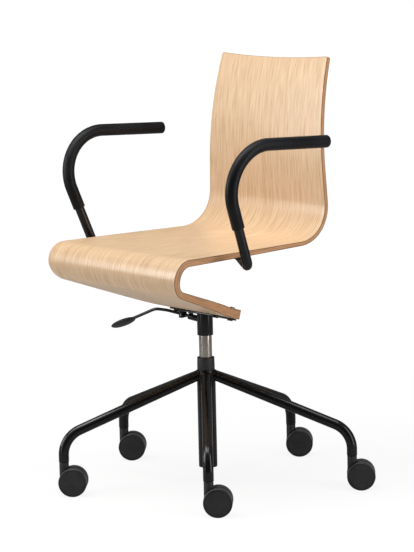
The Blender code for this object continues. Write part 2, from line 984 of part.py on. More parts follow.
def lever_path():
    """Returns the lever rod's centre line in the lever's own frame, along +X from the lift's axis."""
    pivot = along_lever(lever_pivot_reach)
    bottom = lever_line_height(0.0)
    corners = [
        Vector((-0.002, 0.0, bottom)),
        Vector((lever_rise_reach, 0.0, lever_rise_height)),
        Vector((lever_crest_reach, 0.0, lever_crest_height)),
        Vector((lever_grip_reach, 0.0, lever_grip_height)),
    ]
    last_run = (corners[3] - corners[2]).normalized()
    corners[3] = corners[3] + last_run * paddle_overlap
    points = [corners[0]]
    for before, corner, after in zip(corners, corners[1:], corners[2:]):
        back = (before - corner).normalized() * lever_bend_radius
        ahead = (after - corner).normalized() * lever_bend_radius
        for i in range(4):
            t = i / 3.0
            points.append(corner + back * (1.0 - t) ** 2 + ahead * t**2)
    points.append(corners[3])
    shift = Vector((lever_pivot_reach, 0.0, pivot.z))
    return [point - shift for point in points]


def make_lever(seat):
    """Makes the lever's bracket, pivot pin, rod and flat paddle, and returns the lever's frame."""
    pivot = along_lever(lever_pivot_reach)
    lever = add_frame("lever_frame", pivot, (0.0, 0.0, math.radians(lever_heading)), seat)
    path = lever_path()
    rod = make_tube("lever_rod", path, lever_radius, "black_paint", lever)
    pin_reach = (0.0, bracket_half_width, 0.0)
    pin_back = (0.0, -bracket_half_width, 0.0)
    make_rod("lever_pin", lever_pin_radius, pin_back, pin_reach, finish="zinc_steel", parent=seat)
    pin = bpy.data.objects["lever_pin"]
    pin.location = pivot
    pin.rotation_euler = (0.0, 0.0, math.radians(lever_heading))
    pin_hole = make_rod(
        "lever_pin_hole",
        lever_pin_radius + seat_gap,
        (0.0, -2.0 * lever_radius, 0.0),
        (0.0, 2.0 * lever_radius, 0.0),
        parent=lever,
    )
    combine(rod, pin_hole, "DIFFERENCE")
    make_paddle(lever, path)
    return lever


def make_paddle(lever, path):
    """Makes the flat oval paddle on the lever's end."""
    run = (path[-1] - path[-2]).normalized()
    middle = path[-1] + run * (paddle_length / 2.0 - paddle_overlap)
    mesh = bpy.data.meshes.new("lever_paddle")
    shape = bmesh.new()
    bmesh.ops.create_uvsphere(shape, u_segments=20, v_segments=10, radius=0.5)
    for vertex in shape.verts:
        swell = 1.0 + 0.12 * (1.0 - (2.0 * vertex.co.z) ** 2)
        vertex.co.x *= paddle_length
        vertex.co.y *= paddle_width
        vertex.co.z *= paddle_thickness * swell
    turn = run.to_track_quat("X", "Z").to_matrix().to_4x4()
    shape.transform(Matrix.Translation(middle) @ turn)
    shape.to_mesh(mesh)
    shape.free()
    paddle = settle(bpy.data.objects.new("lever_paddle", mesh), "lever_paddle", "black_plastic", lever)
    socket = make_rod(
        "paddle_socket",
        lever_radius + seat_gap,
        path[-1] - run * (paddle_overlap + 0.010),
        path[-1] + run * seat_gap,
        parent=lever,
    )
    combine(paddle, socket, "DIFFERENCE")
    return shade_round(paddle)


def make_bracket(seat, tail):
    """Makes the bracket with two lugs that hangs from the plate and carries the lever's pin."""
    heading = (0.0, 0.0, math.radians(lever_heading))
    pivot = along_lever(lever_pivot_reach)
    near, far = lever_pivot_reach - bracket_half_length, lever_pivot_reach + bracket_half_length
    high = lift_top + 0.040
    bracket = make_block(
        "lever_bracket",
        (near, -bracket_half_width, bracket_bottom),
        (far, bracket_half_width, high),
        "black_paint",
        seat,
    )
    bracket.rotation_euler = heading
    combine(bracket, plate_clearance("bracket_top_cut", tail), "DIFFERENCE")
    slot = make_block(
        "bracket_slot",
        (near - cut_margin, -bracket_slot_half_width, bracket_bottom + bracket_web),
        (far + cut_margin, bracket_slot_half_width, high + cut_margin),
        parent=seat,
    )
    slot.rotation_euler = heading
    combine(bracket, slot, "DIFFERENCE")
    side = Vector((-math.sin(heading[2]), math.cos(heading[2]), 0.0)) * (bracket_half_width + cut_margin)
    pin_hole = make_rod(
        "bracket_pin_hole", lever_pin_radius + seat_gap, pivot - side, pivot + side, parent=seat
    )
    return combine(bracket, pin_hole, "DIFFERENCE")


# Armrests


def arm_path(side):
    """Returns an arm tube's centre line, from its rear end to its foot, and the sleeve's part of it."""
    rise, toe, splay = math.radians(arm_rise), math.radians(arm_toe), math.radians(arm_splay)
    outward = side * math.sin(toe) * math.cos(rise)
    forward = (outward, -math.cos(toe) * math.cos(rise), math.sin(rise))
    down = (-side * math.sin(splay), 0.0, -math.cos(splay))
    turn = 90.0 + arm_rise + arm_leg_lean
    start = (side * arm_half_spacing, arm_end_y, arm_end_z)
    top = [arm_top_length, (arm_bend_radius, turn, down)]
    foot = [(arm_foot_radius, arm_foot_turn, foot_direction(side))]
    whole = trace(start, forward, top + [arm_leg_length] + foot)
    covered = trace(start, forward, top + [sleeve_leg_length])
    return whole, covered


def foot_direction(side):
    """Returns the level direction in which an arm's foot runs in under the seat."""
    yaw = math.radians(arm_foot_yaw)
    return Vector((-side * math.cos(yaw), math.sin(yaw), 0.0))


def make_arm(label, side, seat, shell):
    """Makes one armrest: tube, grip sleeve, end plug, bent foot bar under the seat and its screws."""
    whole, covered = arm_path(side)
    tube = make_tube(f"arm_tube_{label}", whole, arm_tube_radius, "black_paint", seat, arm_tube_wall)
    sleeve_wall = sleeve_radius - arm_tube_radius - seat_gap
    make_tube(f"arm_sleeve_{label}", covered, sleeve_radius, "black_sleeve", seat, sleeve_wall)
    make_end_cap(label, side, seat)
    make_arm_foot(label, side, seat, shell, tube, whole[-1])


def make_end_cap(label, side, seat):
    """Makes the plug in the rear end of an arm tube."""
    plug = clear_bore(arm_tube_radius, arm_tube_wall) - seat_gap
    outline = [
        (0.0, end_cap_proud),
        (end_cap_radius - 0.0015, end_cap_proud),
        (end_cap_radius, end_cap_proud - 0.0015),
        (end_cap_radius, seat_gap),
        (plug, seat_gap),
        (plug, -end_cap_plug_length),
        (0.0, -end_cap_plug_length),
    ]
    cap = make_turned(f"arm_cap_{label}", outline, "black_plastic", seat, small_segments)
    cap.location = (side * arm_half_spacing, arm_end_y, arm_end_z)
    cap.rotation_euler = (math.radians(-90.0 - arm_rise), 0.0, side * math.radians(arm_toe))


def make_arm_foot(label, side, seat, shell, tube, tube_end):
    """Makes the bent flat bar that joins an arm tube to the seat's under side, and its two screws."""
    distance = profile.distance_at(tube_end.y, profile.starts[3], profile.starts[4])
    y, z = inner_face(distance)
    taper = (profile.thickness(distance + 0.001) - profile.thickness(distance)) / 0.001
    tilt = Matrix.Rotation(math.radians(seat_fall) + math.atan(taper), 4, "X")
    inward = foot_direction(side)
    turn = Matrix.Rotation(math.atan2(inward.y, inward.x), 4, "Z")
    frame = add_frame(f"arm_foot_frame_{label}", (tube_end.x, y, z), (tilt @ turn).to_euler(), seat)
    drop = z - tube_end.z + arm_foot_weld_drop
    slope = (drop - arm_foot_thickness) / arm_foot_knee
    thick = arm_foot_thickness * math.sqrt(1.0 + slope**2)
    top = -seat_gap
    bottom = top - arm_foot_thickness
    outline = [
        (seat_gap, -drop + thick / 2.0),
        (arm_foot_knee, top),
        (arm_foot_reach, top),
        (arm_foot_reach, bottom),
        (arm_foot_knee + arm_foot_thickness * slope / 2.0, bottom),
        (seat_gap, -drop - thick / 2.0),
    ]
    foot = make_bar(f"arm_foot_{label}", outline, arm_foot_half_width, "black_paint", frame)
    low = (0.0, -weld_face_half_width, -weld_face_half_width)
    high = (weld_face_depth, weld_face_half_width, weld_face_half_width)
    weld_face = make_block(f"arm_weld_face_{label}", low, high, parent=frame)
    combine(tube, weld_face, "DIFFERENCE")
    for number in (1, 2):
        x = arm_foot_reach - arm_screw_inset - (number - 1) * arm_screw_spacing
        make_arm_screw(f"arm_screw_{label}_{number}", x, bottom, frame, foot, shell)


def make_bar(name, outline, half_width, finish, parent):
    """Makes a bar from its side outline, with a Solidify modifier for its width."""
    mesh = bpy.data.meshes.new(name)
    mesh.from_pydata([(x, half_width, z) for x, z in outline], [], [list(range(len(outline)))])
    obj = settle(bpy.data.objects.new(name, mesh), name, finish, parent)
    width = obj.modifiers.new("width", "SOLIDIFY")
    width.thickness = 2.0 * half_width
    width.offset = -1.0
    return obj


def make_arm_screw(name, x, under, frame, foot, shell):
    """Makes one screw up through an arm's foot into the seat, and the holes for it."""
    head_top = under - seat_gap
    head_low = head_top - arm_screw_head_height
    outline = [
        (0.0, arm_screw_depth),
        (arm_screw_radius - 0.001, arm_screw_depth),
        (arm_screw_radius, arm_screw_depth - 0.001),
        (arm_screw_radius, head_top),
        (arm_screw_head_radius, head_top),
        (arm_screw_head_radius - 0.0012, head_low),
        (0.0, head_low),
    ]
    screw = make_turned(name, outline, "zinc_steel", frame, small_segments)
    screw.location = (x, 0.0, 0.0)
    bore = arm_screw_radius + seat_gap
    foot_hole = make_rod(
        name + "_hole", bore, (x, 0.0, under - cut_margin), (x, 0.0, cut_margin), parent=frame
    )
    combine(foot, foot_hole, "DIFFERENCE")
    seat_hole = make_rod(
        name + "_seat_hole", bore, (x, 0.0, -cut_margin), (x, 0.0, arm_screw_depth + seat_gap), parent=frame
    )
    combine(shell, seat_hole, "DIFFERENCE")


# The whole chair


def stand_on_origin(chair):
    """Moves the whole chair so that the bottom centre of its box is the world origin."""
    bpy.context.view_layer.update()
    graph = bpy.context.evaluated_depsgraph_get()
    low = np.full(3, np.inf)
    high = np.full(3, -np.inf)
    for obj in chair_parts.objects:
        if obj.type != "MESH":
            continue
        shape = obj.evaluated_get(graph)
        for vertex in shape.data.vertices:
            place = np.array(obj.matrix_world @ vertex.co)
            low = np.minimum(low, place)
            high = np.maximum(high, place)
    middle = (low + high) / 2.0
    chair.location = (-middle[0], -middle[1], -low[2])
    bpy.context.view_layer.update()


def main():
    """Builds the chair: base and casters, then the lift, then all that turns with the seat."""
    chair = add_frame("chair_frame", (0.0, 0.0, 0.0), (0.0, 0.0, 0.0), None)
    base = add_frame("base_frame", (0.0, 0.0, 0.0), (0.0, 0.0, 0.0), chair)
    spindle = add_frame("spindle_frame", (0.0, 0.0, 0.0), (0.0, 0.0, 0.0), chair)
    seat = add_frame("seat_frame", (0.0, 0.0, 0.0), (0.0, 0.0, 0.0), chair)
    make_column(base)
    for number in range(1, leg_count + 1):
        stem_frame = make_leg(number, base)
        make_caster(number, stem_frame, base_turn + (number - 1) * 360.0 / leg_count)
    make_lift_rod(spindle)
    make_lift_tube(seat)
    make_lift_fittings(base, spindle, seat)
    shell = make_shell(seat)
    tail = plate_frame(seat)
    make_plate(tail)
    make_bolts(tail, shell)
    make_socket(seat, tail)
    make_bracket(seat, tail)
    make_lever(seat)
    make_arm("left", 1.0, seat, shell)
    make_arm("right", -1.0, seat, shell)
    stand_on_origin(chair)


main()
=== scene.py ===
"""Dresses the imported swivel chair: fine meshes, wood, paint and plastic, the studio and the camera.

Lengths are in metres and angles in degrees.
Places are laid out around the column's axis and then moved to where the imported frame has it.
"""

import math

import bmesh
import bpy
import numpy as np
from bpy.props import FloatProperty, FloatVectorProperty, IntProperty, PointerProperty
from bpy.types import Operator, Panel, PropertyGroup
from mathutils import Matrix, Vector


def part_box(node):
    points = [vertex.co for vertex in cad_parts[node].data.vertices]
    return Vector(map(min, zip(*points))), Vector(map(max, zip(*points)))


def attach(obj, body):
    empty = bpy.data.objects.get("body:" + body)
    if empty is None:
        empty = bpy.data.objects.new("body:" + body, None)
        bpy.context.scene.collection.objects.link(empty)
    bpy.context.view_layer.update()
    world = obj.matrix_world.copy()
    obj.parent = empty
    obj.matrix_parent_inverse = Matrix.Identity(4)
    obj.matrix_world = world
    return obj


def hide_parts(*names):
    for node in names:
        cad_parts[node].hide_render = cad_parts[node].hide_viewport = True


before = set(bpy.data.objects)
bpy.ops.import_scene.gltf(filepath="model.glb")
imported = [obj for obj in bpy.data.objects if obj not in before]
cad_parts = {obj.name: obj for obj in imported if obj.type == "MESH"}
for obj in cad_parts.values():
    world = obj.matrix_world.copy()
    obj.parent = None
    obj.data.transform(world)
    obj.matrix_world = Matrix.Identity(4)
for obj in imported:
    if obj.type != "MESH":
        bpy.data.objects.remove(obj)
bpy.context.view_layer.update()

bl_info = {
    "name": "Swivel office chair",
    "version": (1, 0, 0),
    "blender": (4, 5, 0),
    "location": "View3D > Sidebar > Office chair",
    "description": "Dresses a bent plywood office chair on a five-leg base",
    "category": "Object",
}

# Where the frame has the column's axis and foot

COLUMN_BOTTOM = 0.0350
column_low, column_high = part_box("column_tube")
origin = Vector(
    (
        (column_low[0] + column_high[0]) / 2.0,
        (column_low[1] + column_high[1]) / 2.0,
        column_low[2] - COLUMN_BOTTOM,
    )
)

# The shell's side line: straight runs and bends from the top of the back to the tail's end

SHELL_TOP = (0.2033, 0.9185)
BACK_LEAN = 16.5
BACK_BEND = (0.77, 18.0)
BACK_STRAIGHT = 0.068
SEAT_BEND_RADIUS = 0.075
SEAT_FALL = 1.2
SEAT_LENGTH = 0.3065
NOSE_RADIUS = 0.042
TAIL_FALL = 19.9
TAIL_SLOPE = 0.170
TAIL_BEND_RADIUS = 0.40
TAIL_END_FALL = 15.6
TAIL_END_LENGTH = 0.0615
BACK_THICKNESS = 0.009
SEAT_THICKNESS = 0.0145
TAIL_THICKNESS = 0.0205
HALF_WIDTHS = (0.182, 0.2015, 0.2295, 0.2305, 0.2045, 0.176, 0.087)
TOP_SAG = 0.0058
CORNER_RADIUS = 0.005

# Other fixed places and sizes of the frame

GAP = 0.0003
LEG_ANGLES = [-37.0 + 72.0 * k for k in range(5)]
LEG_REACH = 0.3230
LEG_DROP = 20.0
LEG_BEND_RADIUS = 0.055
LEG_END = 0.0730
LEG_STUB = 0.0142
LEG_TANGENT = LEG_BEND_RADIUS * math.tan(math.radians(90.0 - LEG_DROP) / 2.0)
LEG_AXIS_HEIGHT = LEG_END + LEG_STUB + LEG_TANGENT + LEG_REACH * math.tan(math.radians(LEG_DROP))
COLUMN_TOP = LEG_AXIS_HEIGHT + 0.0044
COLLAR_HEIGHT = 0.0280
LIFT_TOP = 0.3470
SOCKET_BOTTOM = 0.3240
BOLTS = [(-0.070, -0.024), (-0.070, 0.016), (0.070, -0.024), (0.070, 0.016)]
LEVER_HEADING = 195.0
LEVER_CORNERS = ((0.105, 0.3703), (0.137, 0.3708), (0.193, 0.3478))
LEVER_START = -0.002
LEVER_BEND = 0.010
LEVER_TONGUE = 0.017
PADDLE_OVERLAP = 0.012
PADDLE_ROOT_RADIUS = 0.0070
PADDLE_ROOT_ENDS = (-0.004, 0.010)
BUTTON_PROUD = 0.0055
ARM_HALF_SPACING = 0.2889
ARM_END = (0.1101, 0.7507)
ARM_RISE = 1.7
ARM_TOE = 2.5
ARM_SPLAY = 4.8
ARM_TOP = 0.1610
ARM_BEND_RADIUS = 0.092
ARM_LEG_LEAN = 20.1
ARM_LEG = 0.121
ARM_FOOT_BEND = (0.0140, 92.0)
ARM_FOOT_YAW = 24.0
SLEEVE_LEG = 0.046
CASTER_HEADING = 50.0
CASTER_TRAIL = 0.0190
CASTER_NECK_RADIUS = 0.01025
WEB_HALF_WIDTH = 0.0055
HUB_HEIGHT = 0.0308
NECK_TOP = 0.0724
NECK_BOTTOM = 0.029
WHEEL_ROOM = 0.0008
WELL_END = 0.0125
WEB_RADIUS = 0.0292
AXLE_HOLE_RADIUS = 0.0033
AXLE_HOLE_HALF_LENGTH = 0.012
STEM_HOLE_RADIUS = 0.0048
STEM_HOLE_BOTTOM = 0.0427
STEM_HOLE_TOP = 0.08
FINE_STEP = 3.0

# The studio: each lamp's power setting, size, azimuth, elevation, distance and height aimed at

LAMPS = {
    "front_box": ("key", (1.4, 1.4), -30.0, 58.0, 2.3, 0.45),
    "glare_box": ("glare", (0.6, 1.2), -41.0, 8.0, 2.4, 0.80),
    "side_box": ("side", (0.5, 1.5), 108.0, 12.0, 1.6, 0.45),
    "top_box": ("top", (2.0, 1.4), 40.0, 80.0, 2.2, 0.45),
    "strip_box": ("strip", (0.15, 1.5), -11.0, 12.0, 1.6, 0.45),
}
FLOOR_RADIUS = 30.0
FLOOR_GLOW = 1.03
FLOOR_GLOW_MIRRORED = 0.15
FLOOR_PAPER_MIRRORED = 0.4
FLOOR_FADE_REACH = (0.5, 1.6)
FLOOR_FADE_SHARE = (0.86, 1.0)
CARD_PLACE = (53.0, 80.0, 2.6, 3.2)
CARD_BOTTOM = -0.3


# Settings


def length_setting(name, description, default):
    """A length in metres."""
    return FloatProperty(name=name, description=description, default=default, unit="LENGTH")


def power_setting(name, description, default):
    """The power of a lamp in watts."""
    return FloatProperty(name=name, description=description, default=default, unit="POWER")


def colour_setting(name, description, default):
    """A colour in linear light."""
    return FloatVectorProperty(
        name=name, description=description, subtype="COLOR", default=default, min=0.0, max=1.0
    )


class ShellSettings(PropertyGroup):
    """The bent plywood shell."""

    edge_rounding: length_setting("Edge rounding", "Radius of the sanded edges", 0.0009)
    columns: IntProperty(name="Columns", description="Faces across the shell", default=36, min=4)
    ply: length_setting("Ply", "Thickness of one layer of the plywood", 0.0015)
    pale_wood: colour_setting("Pale wood", "Lightest colour of the veneer", (0.800, 0.567, 0.354))
    warm_wood: colour_setting("Warm wood", "Darker colour of the veneer's grain", (0.620, 0.405, 0.222))
    edge_wood: colour_setting("Edge wood", "Colour of the plies along the edge", (0.640, 0.315, 0.138))
    edge_line: colour_setting(
        "Edge line", "Colour of the glue lines and the veneer's cut edge", (0.230, 0.118, 0.054)
    )


class TubeSettings(PropertyGroup):
    """The steel tubes of the arms and the legs, and the sleeves on the arms."""

    leg_radius: length_setting("Leg radius", "Outer radius of a leg", 0.0110)
    arm_radius: length_setting("Arm radius", "Outer radius of an arm tube", 0.0103)
    sleeve_radius: length_setting("Sleeve radius", "Outer radius of a grip sleeve", 0.01325)
    weld_radius: length_setting("Weld radius", "Radius of the weld beads", 0.0016)
    sides: IntProperty(name="Sides", description="Faces around a tube", default=40, min=8)
    paint: colour_setting("Paint", "Colour of the gloss paint", (0.0065, 0.0055, 0.0055))
    grip: colour_setting("Grip", "Colour of the soft sleeves", (0.0060, 0.0060, 0.0075))


class ColumnSettings(PropertyGroup):
    """The column, its collar, the gas lift and the socket under the seat."""

    column_radius: length_setting("Column radius", "Outer radius of the column", 0.0201)
    collar_radius: length_setting("Collar radius", "Outer radius of the collar", 0.0190)
    lift_radius: length_setting("Lift radius", "Outer radius of the lift's tube", 0.0140)
    socket_radius: length_setting("Socket radius", "Outer radius of the socket", 0.0172)
    segments: IntProperty(name="Segments", description="Faces around a turned piece", default=64, min=12)
    nickel: colour_setting("Nickel", "Colour of the lift's plated tube", (0.480, 0.430, 0.385))
    zinc: colour_setting("Zinc", "Colour of the small plated steel", (0.40, 0.40, 0.41))


class CasterSettings(PropertyGroup):
    """The twin-wheel casters."""

    wheel_radius: length_setting("Wheel radius", "Radius of a wheel", 0.0304)
    wheel_width: length_setting("Wheel width", "Width of one wheel", 0.0180)
    cap_radius: length_setting("Cap radius", "Radius of the flat disc on a wheel", 0.0273)
    nylon: colour_setting("Nylon", "Colour of the moulded plastic", (0.0185, 0.0175, 0.0180))
    tread: colour_setting("Tread", "Colour of the wheels' running band", (0.0240, 0.0230, 0.0235))


class LeverSettings(PropertyGroup):
    """The height lever."""

    rod_radius: length_setting("Rod radius", "Radius of the lever's rod", 0.0034)
    paddle_length: length_setting("Paddle length", "Length of the paddle", 0.068)
    paddle_width: length_setting("Paddle width", "Width of the paddle", 0.032)
    paddle_thickness: length_setting("Paddle thickness", "Thickness of the paddle", 0.0112)
    paddle_roll: FloatProperty(
        name="Paddle roll", description="Lean of the paddle about its length", subtype="ANGLE",
        default=math.radians(17.0),
    )


class StageSettings(PropertyGroup):
    """The floor, the light and the camera."""

    camera_azimuth: FloatProperty(
        name="Camera azimuth", description="Angle from the chair's front to the camera", subtype="ANGLE",
        default=math.radians(53.03),
    )
    camera_distance: length_setting(
        "Camera distance", "Level distance from the column to the camera", 5.411
    )
    camera_height: length_setting("Camera height", "Height of the camera", 1.197)
    lens: FloatProperty(name="Lens", description="Focal length in millimetres", default=165.6)
    floor_colour: colour_setting("Floor", "Colour of the floor", (0.86, 0.86, 0.86))
    fill: FloatProperty(name="Fill", description="Strength of the light from all round", default=0.14)
    mirrored: FloatProperty(
        name="Mirrored", description="Strength of the surroundings in reflections", default=0.18
    )
    key: power_setting("Key", "Power of the front light", 26.5)
    side: power_setting("Side", "Power of the side light", 10.0)
    top: power_setting("Top", "Power of the overhead light", 37.0)
    strip: power_setting("Strip", "Power of the tall narrow light at the front", 4.2)
    glare: power_setting("Glare", "Power of the light mirrored by the back", 21.0)


# Shader nodes


class Finish:
    """Builds the nodes of one material."""

    def __init__(self, name, roughness, metallic=0.0, specular=0.5):
        self.material = bpy.data.materials.new(name)
        self.material.use_nodes = True
        self.tree = self.material.node_tree
        self.shader = self.tree.nodes["Principled BSDF"]
        self.shader.inputs["Roughness"].default_value = roughness
        self.shader.inputs["Metallic"].default_value = metallic
        self.shader.inputs["Specular IOR Level"].default_value = specular

    def feed(self, socket, value):
        """Links a node's output to a socket, or sets a plain value on it."""
        if isinstance(value, bpy.types.NodeSocket):
            self.tree.links.new(value, socket)
        else:
            socket.default_value = (*value, 1.0) if socket.type == "RGBA" else value

    def node(self, kind, inputs=(), output=0, **settings):
        """Adds a node, sets and feeds it, and returns one of its outputs."""
        node = self.tree.nodes.new(kind)
        for key, value in settings.items():
            setattr(node, key, value)
        for key, value in dict(inputs).items():
            self.feed(node.inputs[key], value)
        return node.outputs[output]

    def place(self):
        """Returns the object's own coordinates."""
        return self.node("ShaderNodeTexCoord", output="Object")

    def stretch(self, vector, scale, turn=(0.0, 0.0, 0.0)):
        """Turns and scales a coordinate."""
        return self.node("ShaderNodeMapping", {"Vector": vector, "Scale": scale, "Rotation": turn})

    def noise(self, vector, scale, detail=2.0, rough=0.5):
        """Returns a grey noise from nought to one."""
        inputs = {"Vector": vector, "Scale": scale, "Detail": detail, "Roughness": rough}
        return self.node("ShaderNodeTexNoise", inputs)

    def limit(self, value, low, high, to_low=0.0, to_high=1.0):
        """Maps a range of a value onto another, smoothly and clamped."""
        inputs = {"Value": value, 1: low, 2: high, 3: to_low, 4: to_high}
        return self.node("ShaderNodeMapRange", inputs, interpolation_type="SMOOTHSTEP")

    def math(self, operation, first, second=0.0):
        """Returns a sum, product or other plain operation of two values."""
        return self.node("ShaderNodeMath", {0: first, 1: second}, operation=operation)

    def mix(self, factor, first, second, blend="MIX"):
        """Mixes two colours."""
        inputs = {"Factor": factor, "A": first, "B": second}
        node = self.tree.nodes.new("ShaderNodeMix")
        node.data_type = "RGBA"
        node.blend_type = blend
        sockets = {s.name: s for s in node.inputs if s.enabled}
        for key, value in inputs.items():
            self.feed(sockets[key], value)
        return next(s for s in node.outputs if s.enabled)

    def bump(self, height, strength, distance):
        """Feeds a height into the surface's normal."""
        inputs = {"Height": height, "Strength": strength, "Distance": distance}
        self.feed(self.shader.inputs["Normal"], self.node("ShaderNodeBump", inputs))


def veneer_finish(settings):
    """Oak veneer: long soft bands, fine lines and short dark pores, all along the grain."""
    made = Finish("oak_veneer", 0.42, specular=0.6)
    flat = made.node("ShaderNodeUVMap", output="UV", uv_map="veneer")
    drift = made.noise(made.stretch(flat, (5.0, 1.6, 1.0)), 1.0, 2.0)
    lean = made.math("MULTIPLY", made.math("SUBTRACT", drift, 0.5), 0.035)
    ripple = made.noise(made.stretch(flat, (26.0, 60.0, 1.0)), 1.0, 1.0)
    wave = made.math("MULTIPLY", made.math("SUBTRACT", ripple, 0.5), 0.0034)
    shift = made.node("ShaderNodeCombineXYZ", {"X": made.math("ADD", lean, wave)})
    grain = made.node("ShaderNodeVectorMath", {0: flat, 1: shift}, operation="ADD")
    bands = made.noise(made.stretch(grain, (38.0, 0.9, 1.0)), 1.0, 2.0, 0.5)
    lines = made.noise(made.stretch(grain, (190.0, 1.6, 1.0)), 1.0, 4.0, 0.72)
    dashes = made.noise(made.stretch(grain, (1150.0, 42.0, 1.0)), 1.0, 2.0, 0.5)
    flecks = made.noise(made.stretch(grain, (260.0, 95.0, 1.0)), 1.0, 2.0, 0.5)
    threads = made.noise(made.stretch(grain, (340.0, 15.0, 1.0)), 1.0, 1.5, 0.5)
    coarse = made.math("ADD", made.math("MULTIPLY", bands, 0.10), made.math("MULTIPLY", threads, 0.60))
    tone = made.math("ADD", coarse, made.math("MULTIPLY", lines, 0.30))
    colour = made.mix(made.limit(tone, 0.38, 0.64), settings.pale_wood, settings.warm_wood)
    pores = made.limit(dashes, 0.60, 0.74)
    deep = made.math("MULTIPLY", pores, made.limit(lines, 0.40, 0.62, 0.25, 0.75))
    colour = made.mix(deep, colour, (0.33, 0.195, 0.105))
    shine = made.math("MULTIPLY", made.limit(flecks, 0.60, 0.72), 0.16)
    colour = made.mix(shine, colour, (0.86, 0.64, 0.42))
    made.feed(made.shader.inputs["Base Color"], colour)
    rough = made.limit(pores, 0.0, 1.0, 0.32, 0.50)
    made.feed(made.shader.inputs["Roughness"], rough)
    height = made.math("SUBTRACT", made.math("MULTIPLY", lines, 0.35), pores)
    made.bump(height, 0.16, 0.0003)
    return made.material


def edge_finish(settings):
    """The cut edge of the plywood: layers of turned grain between thin dark glue lines."""
    made = Finish("ply_edge", 0.55)
    flat = made.node("ShaderNodeUVMap", output="UV", uv_map="veneer")
    depth = made.node("ShaderNodeAttribute", output="Fac", attribute_name="ply_depth")
    wall = made.node("ShaderNodeAttribute", output="Fac", attribute_name="ply_wall")
    waver = made.noise(made.stretch(flat, (0.0, 26.0, 1.0)), 1.0, 2.0)
    wander = made.math("MULTIPLY", made.math("SUBTRACT", waver, 0.5), 0.0004)
    inward = made.math("ADD", depth, wander)
    layer = made.math("DIVIDE", inward, settings.ply)
    in_layer = made.math("FRACT", layer)
    to_glue = made.math("MINIMUM", in_layer, made.math("SUBTRACT", 1.0, in_layer))
    odd = made.limit(made.math("PINGPONG", layer, 1.0), 0.35, 0.65)
    along = made.noise(made.stretch(flat, (2600.0, 24.0, 1.0)), 1.0, 3.0, 0.6)
    across = made.noise(made.stretch(flat, (1500.0, 900.0, 1.0)), 1.0, 2.0, 0.6)
    long_grain = made.mix(made.limit(along, 0.35, 0.68), (0.720, 0.385, 0.185), (0.540, 0.265, 0.118))
    end_grain = made.mix(made.limit(across, 0.35, 0.70), settings.edge_wood, (0.460, 0.212, 0.090))
    colour = made.mix(odd, long_grain, end_grain)
    depth_place = made.node("ShaderNodeCombineXYZ", {"X": made.math("MULTIPLY", inward, 430.0)})
    streak_place = made.node(
        "ShaderNodeVectorMath",
        {0: made.stretch(flat, (0.0, 16.0, 1.0)), 1: depth_place},
        operation="ADD",
    )
    streaks = made.math("MULTIPLY", made.limit(made.noise(streak_place, 1.0, 2.0), 0.45, 0.62), 0.45)
    colour = made.mix(streaks, colour, settings.edge_line)
    glue = made.math("MULTIPLY", made.limit(to_glue, 0.03, 0.16, 1.0, 0.0), 0.40)
    colour = made.mix(glue, colour, settings.edge_line)
    other_side = made.math("SUBTRACT", wall, depth)
    to_face = made.math("MINIMUM", depth, other_side)
    rim = made.math("MULTIPLY", made.limit(to_face, 0.0012, 0.0024, 1.0, 0.0), 0.85)
    colour = made.mix(rim, colour, settings.edge_line)
    made.feed(made.shader.inputs["Base Color"], colour)
    made.bump(made.math("SUBTRACT", along, glue), 0.25, 0.0003)
    return made.material


def paint_finish(settings):
    """Gloss black stoved paint with a faint orange peel."""
    made = Finish("gloss_black_paint", 0.20, specular=0.36)
    place = made.place()
    peel = made.noise(place, 620.0, 2.0)
    cloud = made.noise(place, 14.0, 3.0)
    specks = made.limit(made.noise(place, 1900.0, 1.0), 0.70, 0.80)
    colour = made.mix(made.math("MULTIPLY", specks, 0.35), settings.paint, (0.030, 0.028, 0.028))
    made.feed(made.shader.inputs["Base Color"], colour)
    made.feed(made.shader.inputs["Roughness"], made.limit(cloud, 0.30, 0.70, 0.16, 0.24))
    made.bump(peel, 0.06, 0.0002)
    return made.material


def grip_finish(settings):
    """Soft black rubber skin of the arm sleeves."""
    made = Finish("soft_black_grip", 0.45, specular=0.17)
    place = made.place()
    pebble = made.noise(place, 1500.0, 2.0)
    cloud = made.noise(place, 22.0, 3.0)
    colour = made.mix(made.limit(cloud, 0.35, 0.70), settings.grip, (0.0100, 0.0100, 0.0120))
    made.feed(made.shader.inputs["Base Color"], colour)
    made.feed(made.shader.inputs["Roughness"], made.limit(cloud, 0.3, 0.7, 0.38, 0.48))
    made.bump(pebble, 0.22, 0.0002)
    return made.material


def moulded_finish(name, colour, roughness, grain, strength, specular=0.42):
    """Moulded black plastic with a fine spark-eroded texture."""
    made = Finish(name, roughness, specular=specular)
    place = made.place()
    pebble = made.noise(place, grain, 3.0, 0.6)
    cloud = made.noise(place, 45.0, 3.0)
    lighter = [min(1.0, 1.45 * part) for part in colour]
    made.feed(made.shader.inputs["Base Color"], made.mix(made.limit(cloud, 0.32, 0.72), colour, lighter))
    spread = made.limit(pebble, 0.30, 0.70, roughness - 0.06, roughness + 0.06)
    made.feed(made.shader.inputs["Roughness"], spread)
    made.bump(pebble, strength, 0.0003)
    return made.material


def nickel_finish(settings):
    """Ground and plated steel, with fine rings round the tube."""
    made = Finish("nickel_steel", 0.20, metallic=1.0)
    place = made.place()
    rings = made.noise(made.stretch(place, (20.0, 20.0, 5200.0)), 1.0, 2.0)
    cloud = made.noise(place, 60.0, 2.0)
    darker = [0.86 * part for part in settings.nickel]
    colour = made.mix(made.limit(cloud, 0.3, 0.7), settings.nickel, darker)
    made.feed(made.shader.inputs["Base Color"], colour)
    made.feed(made.shader.inputs["Roughness"], made.limit(rings, 0.3, 0.7, 0.12, 0.20))
    made.bump(rings, 0.05, 0.0001)
    return made.material


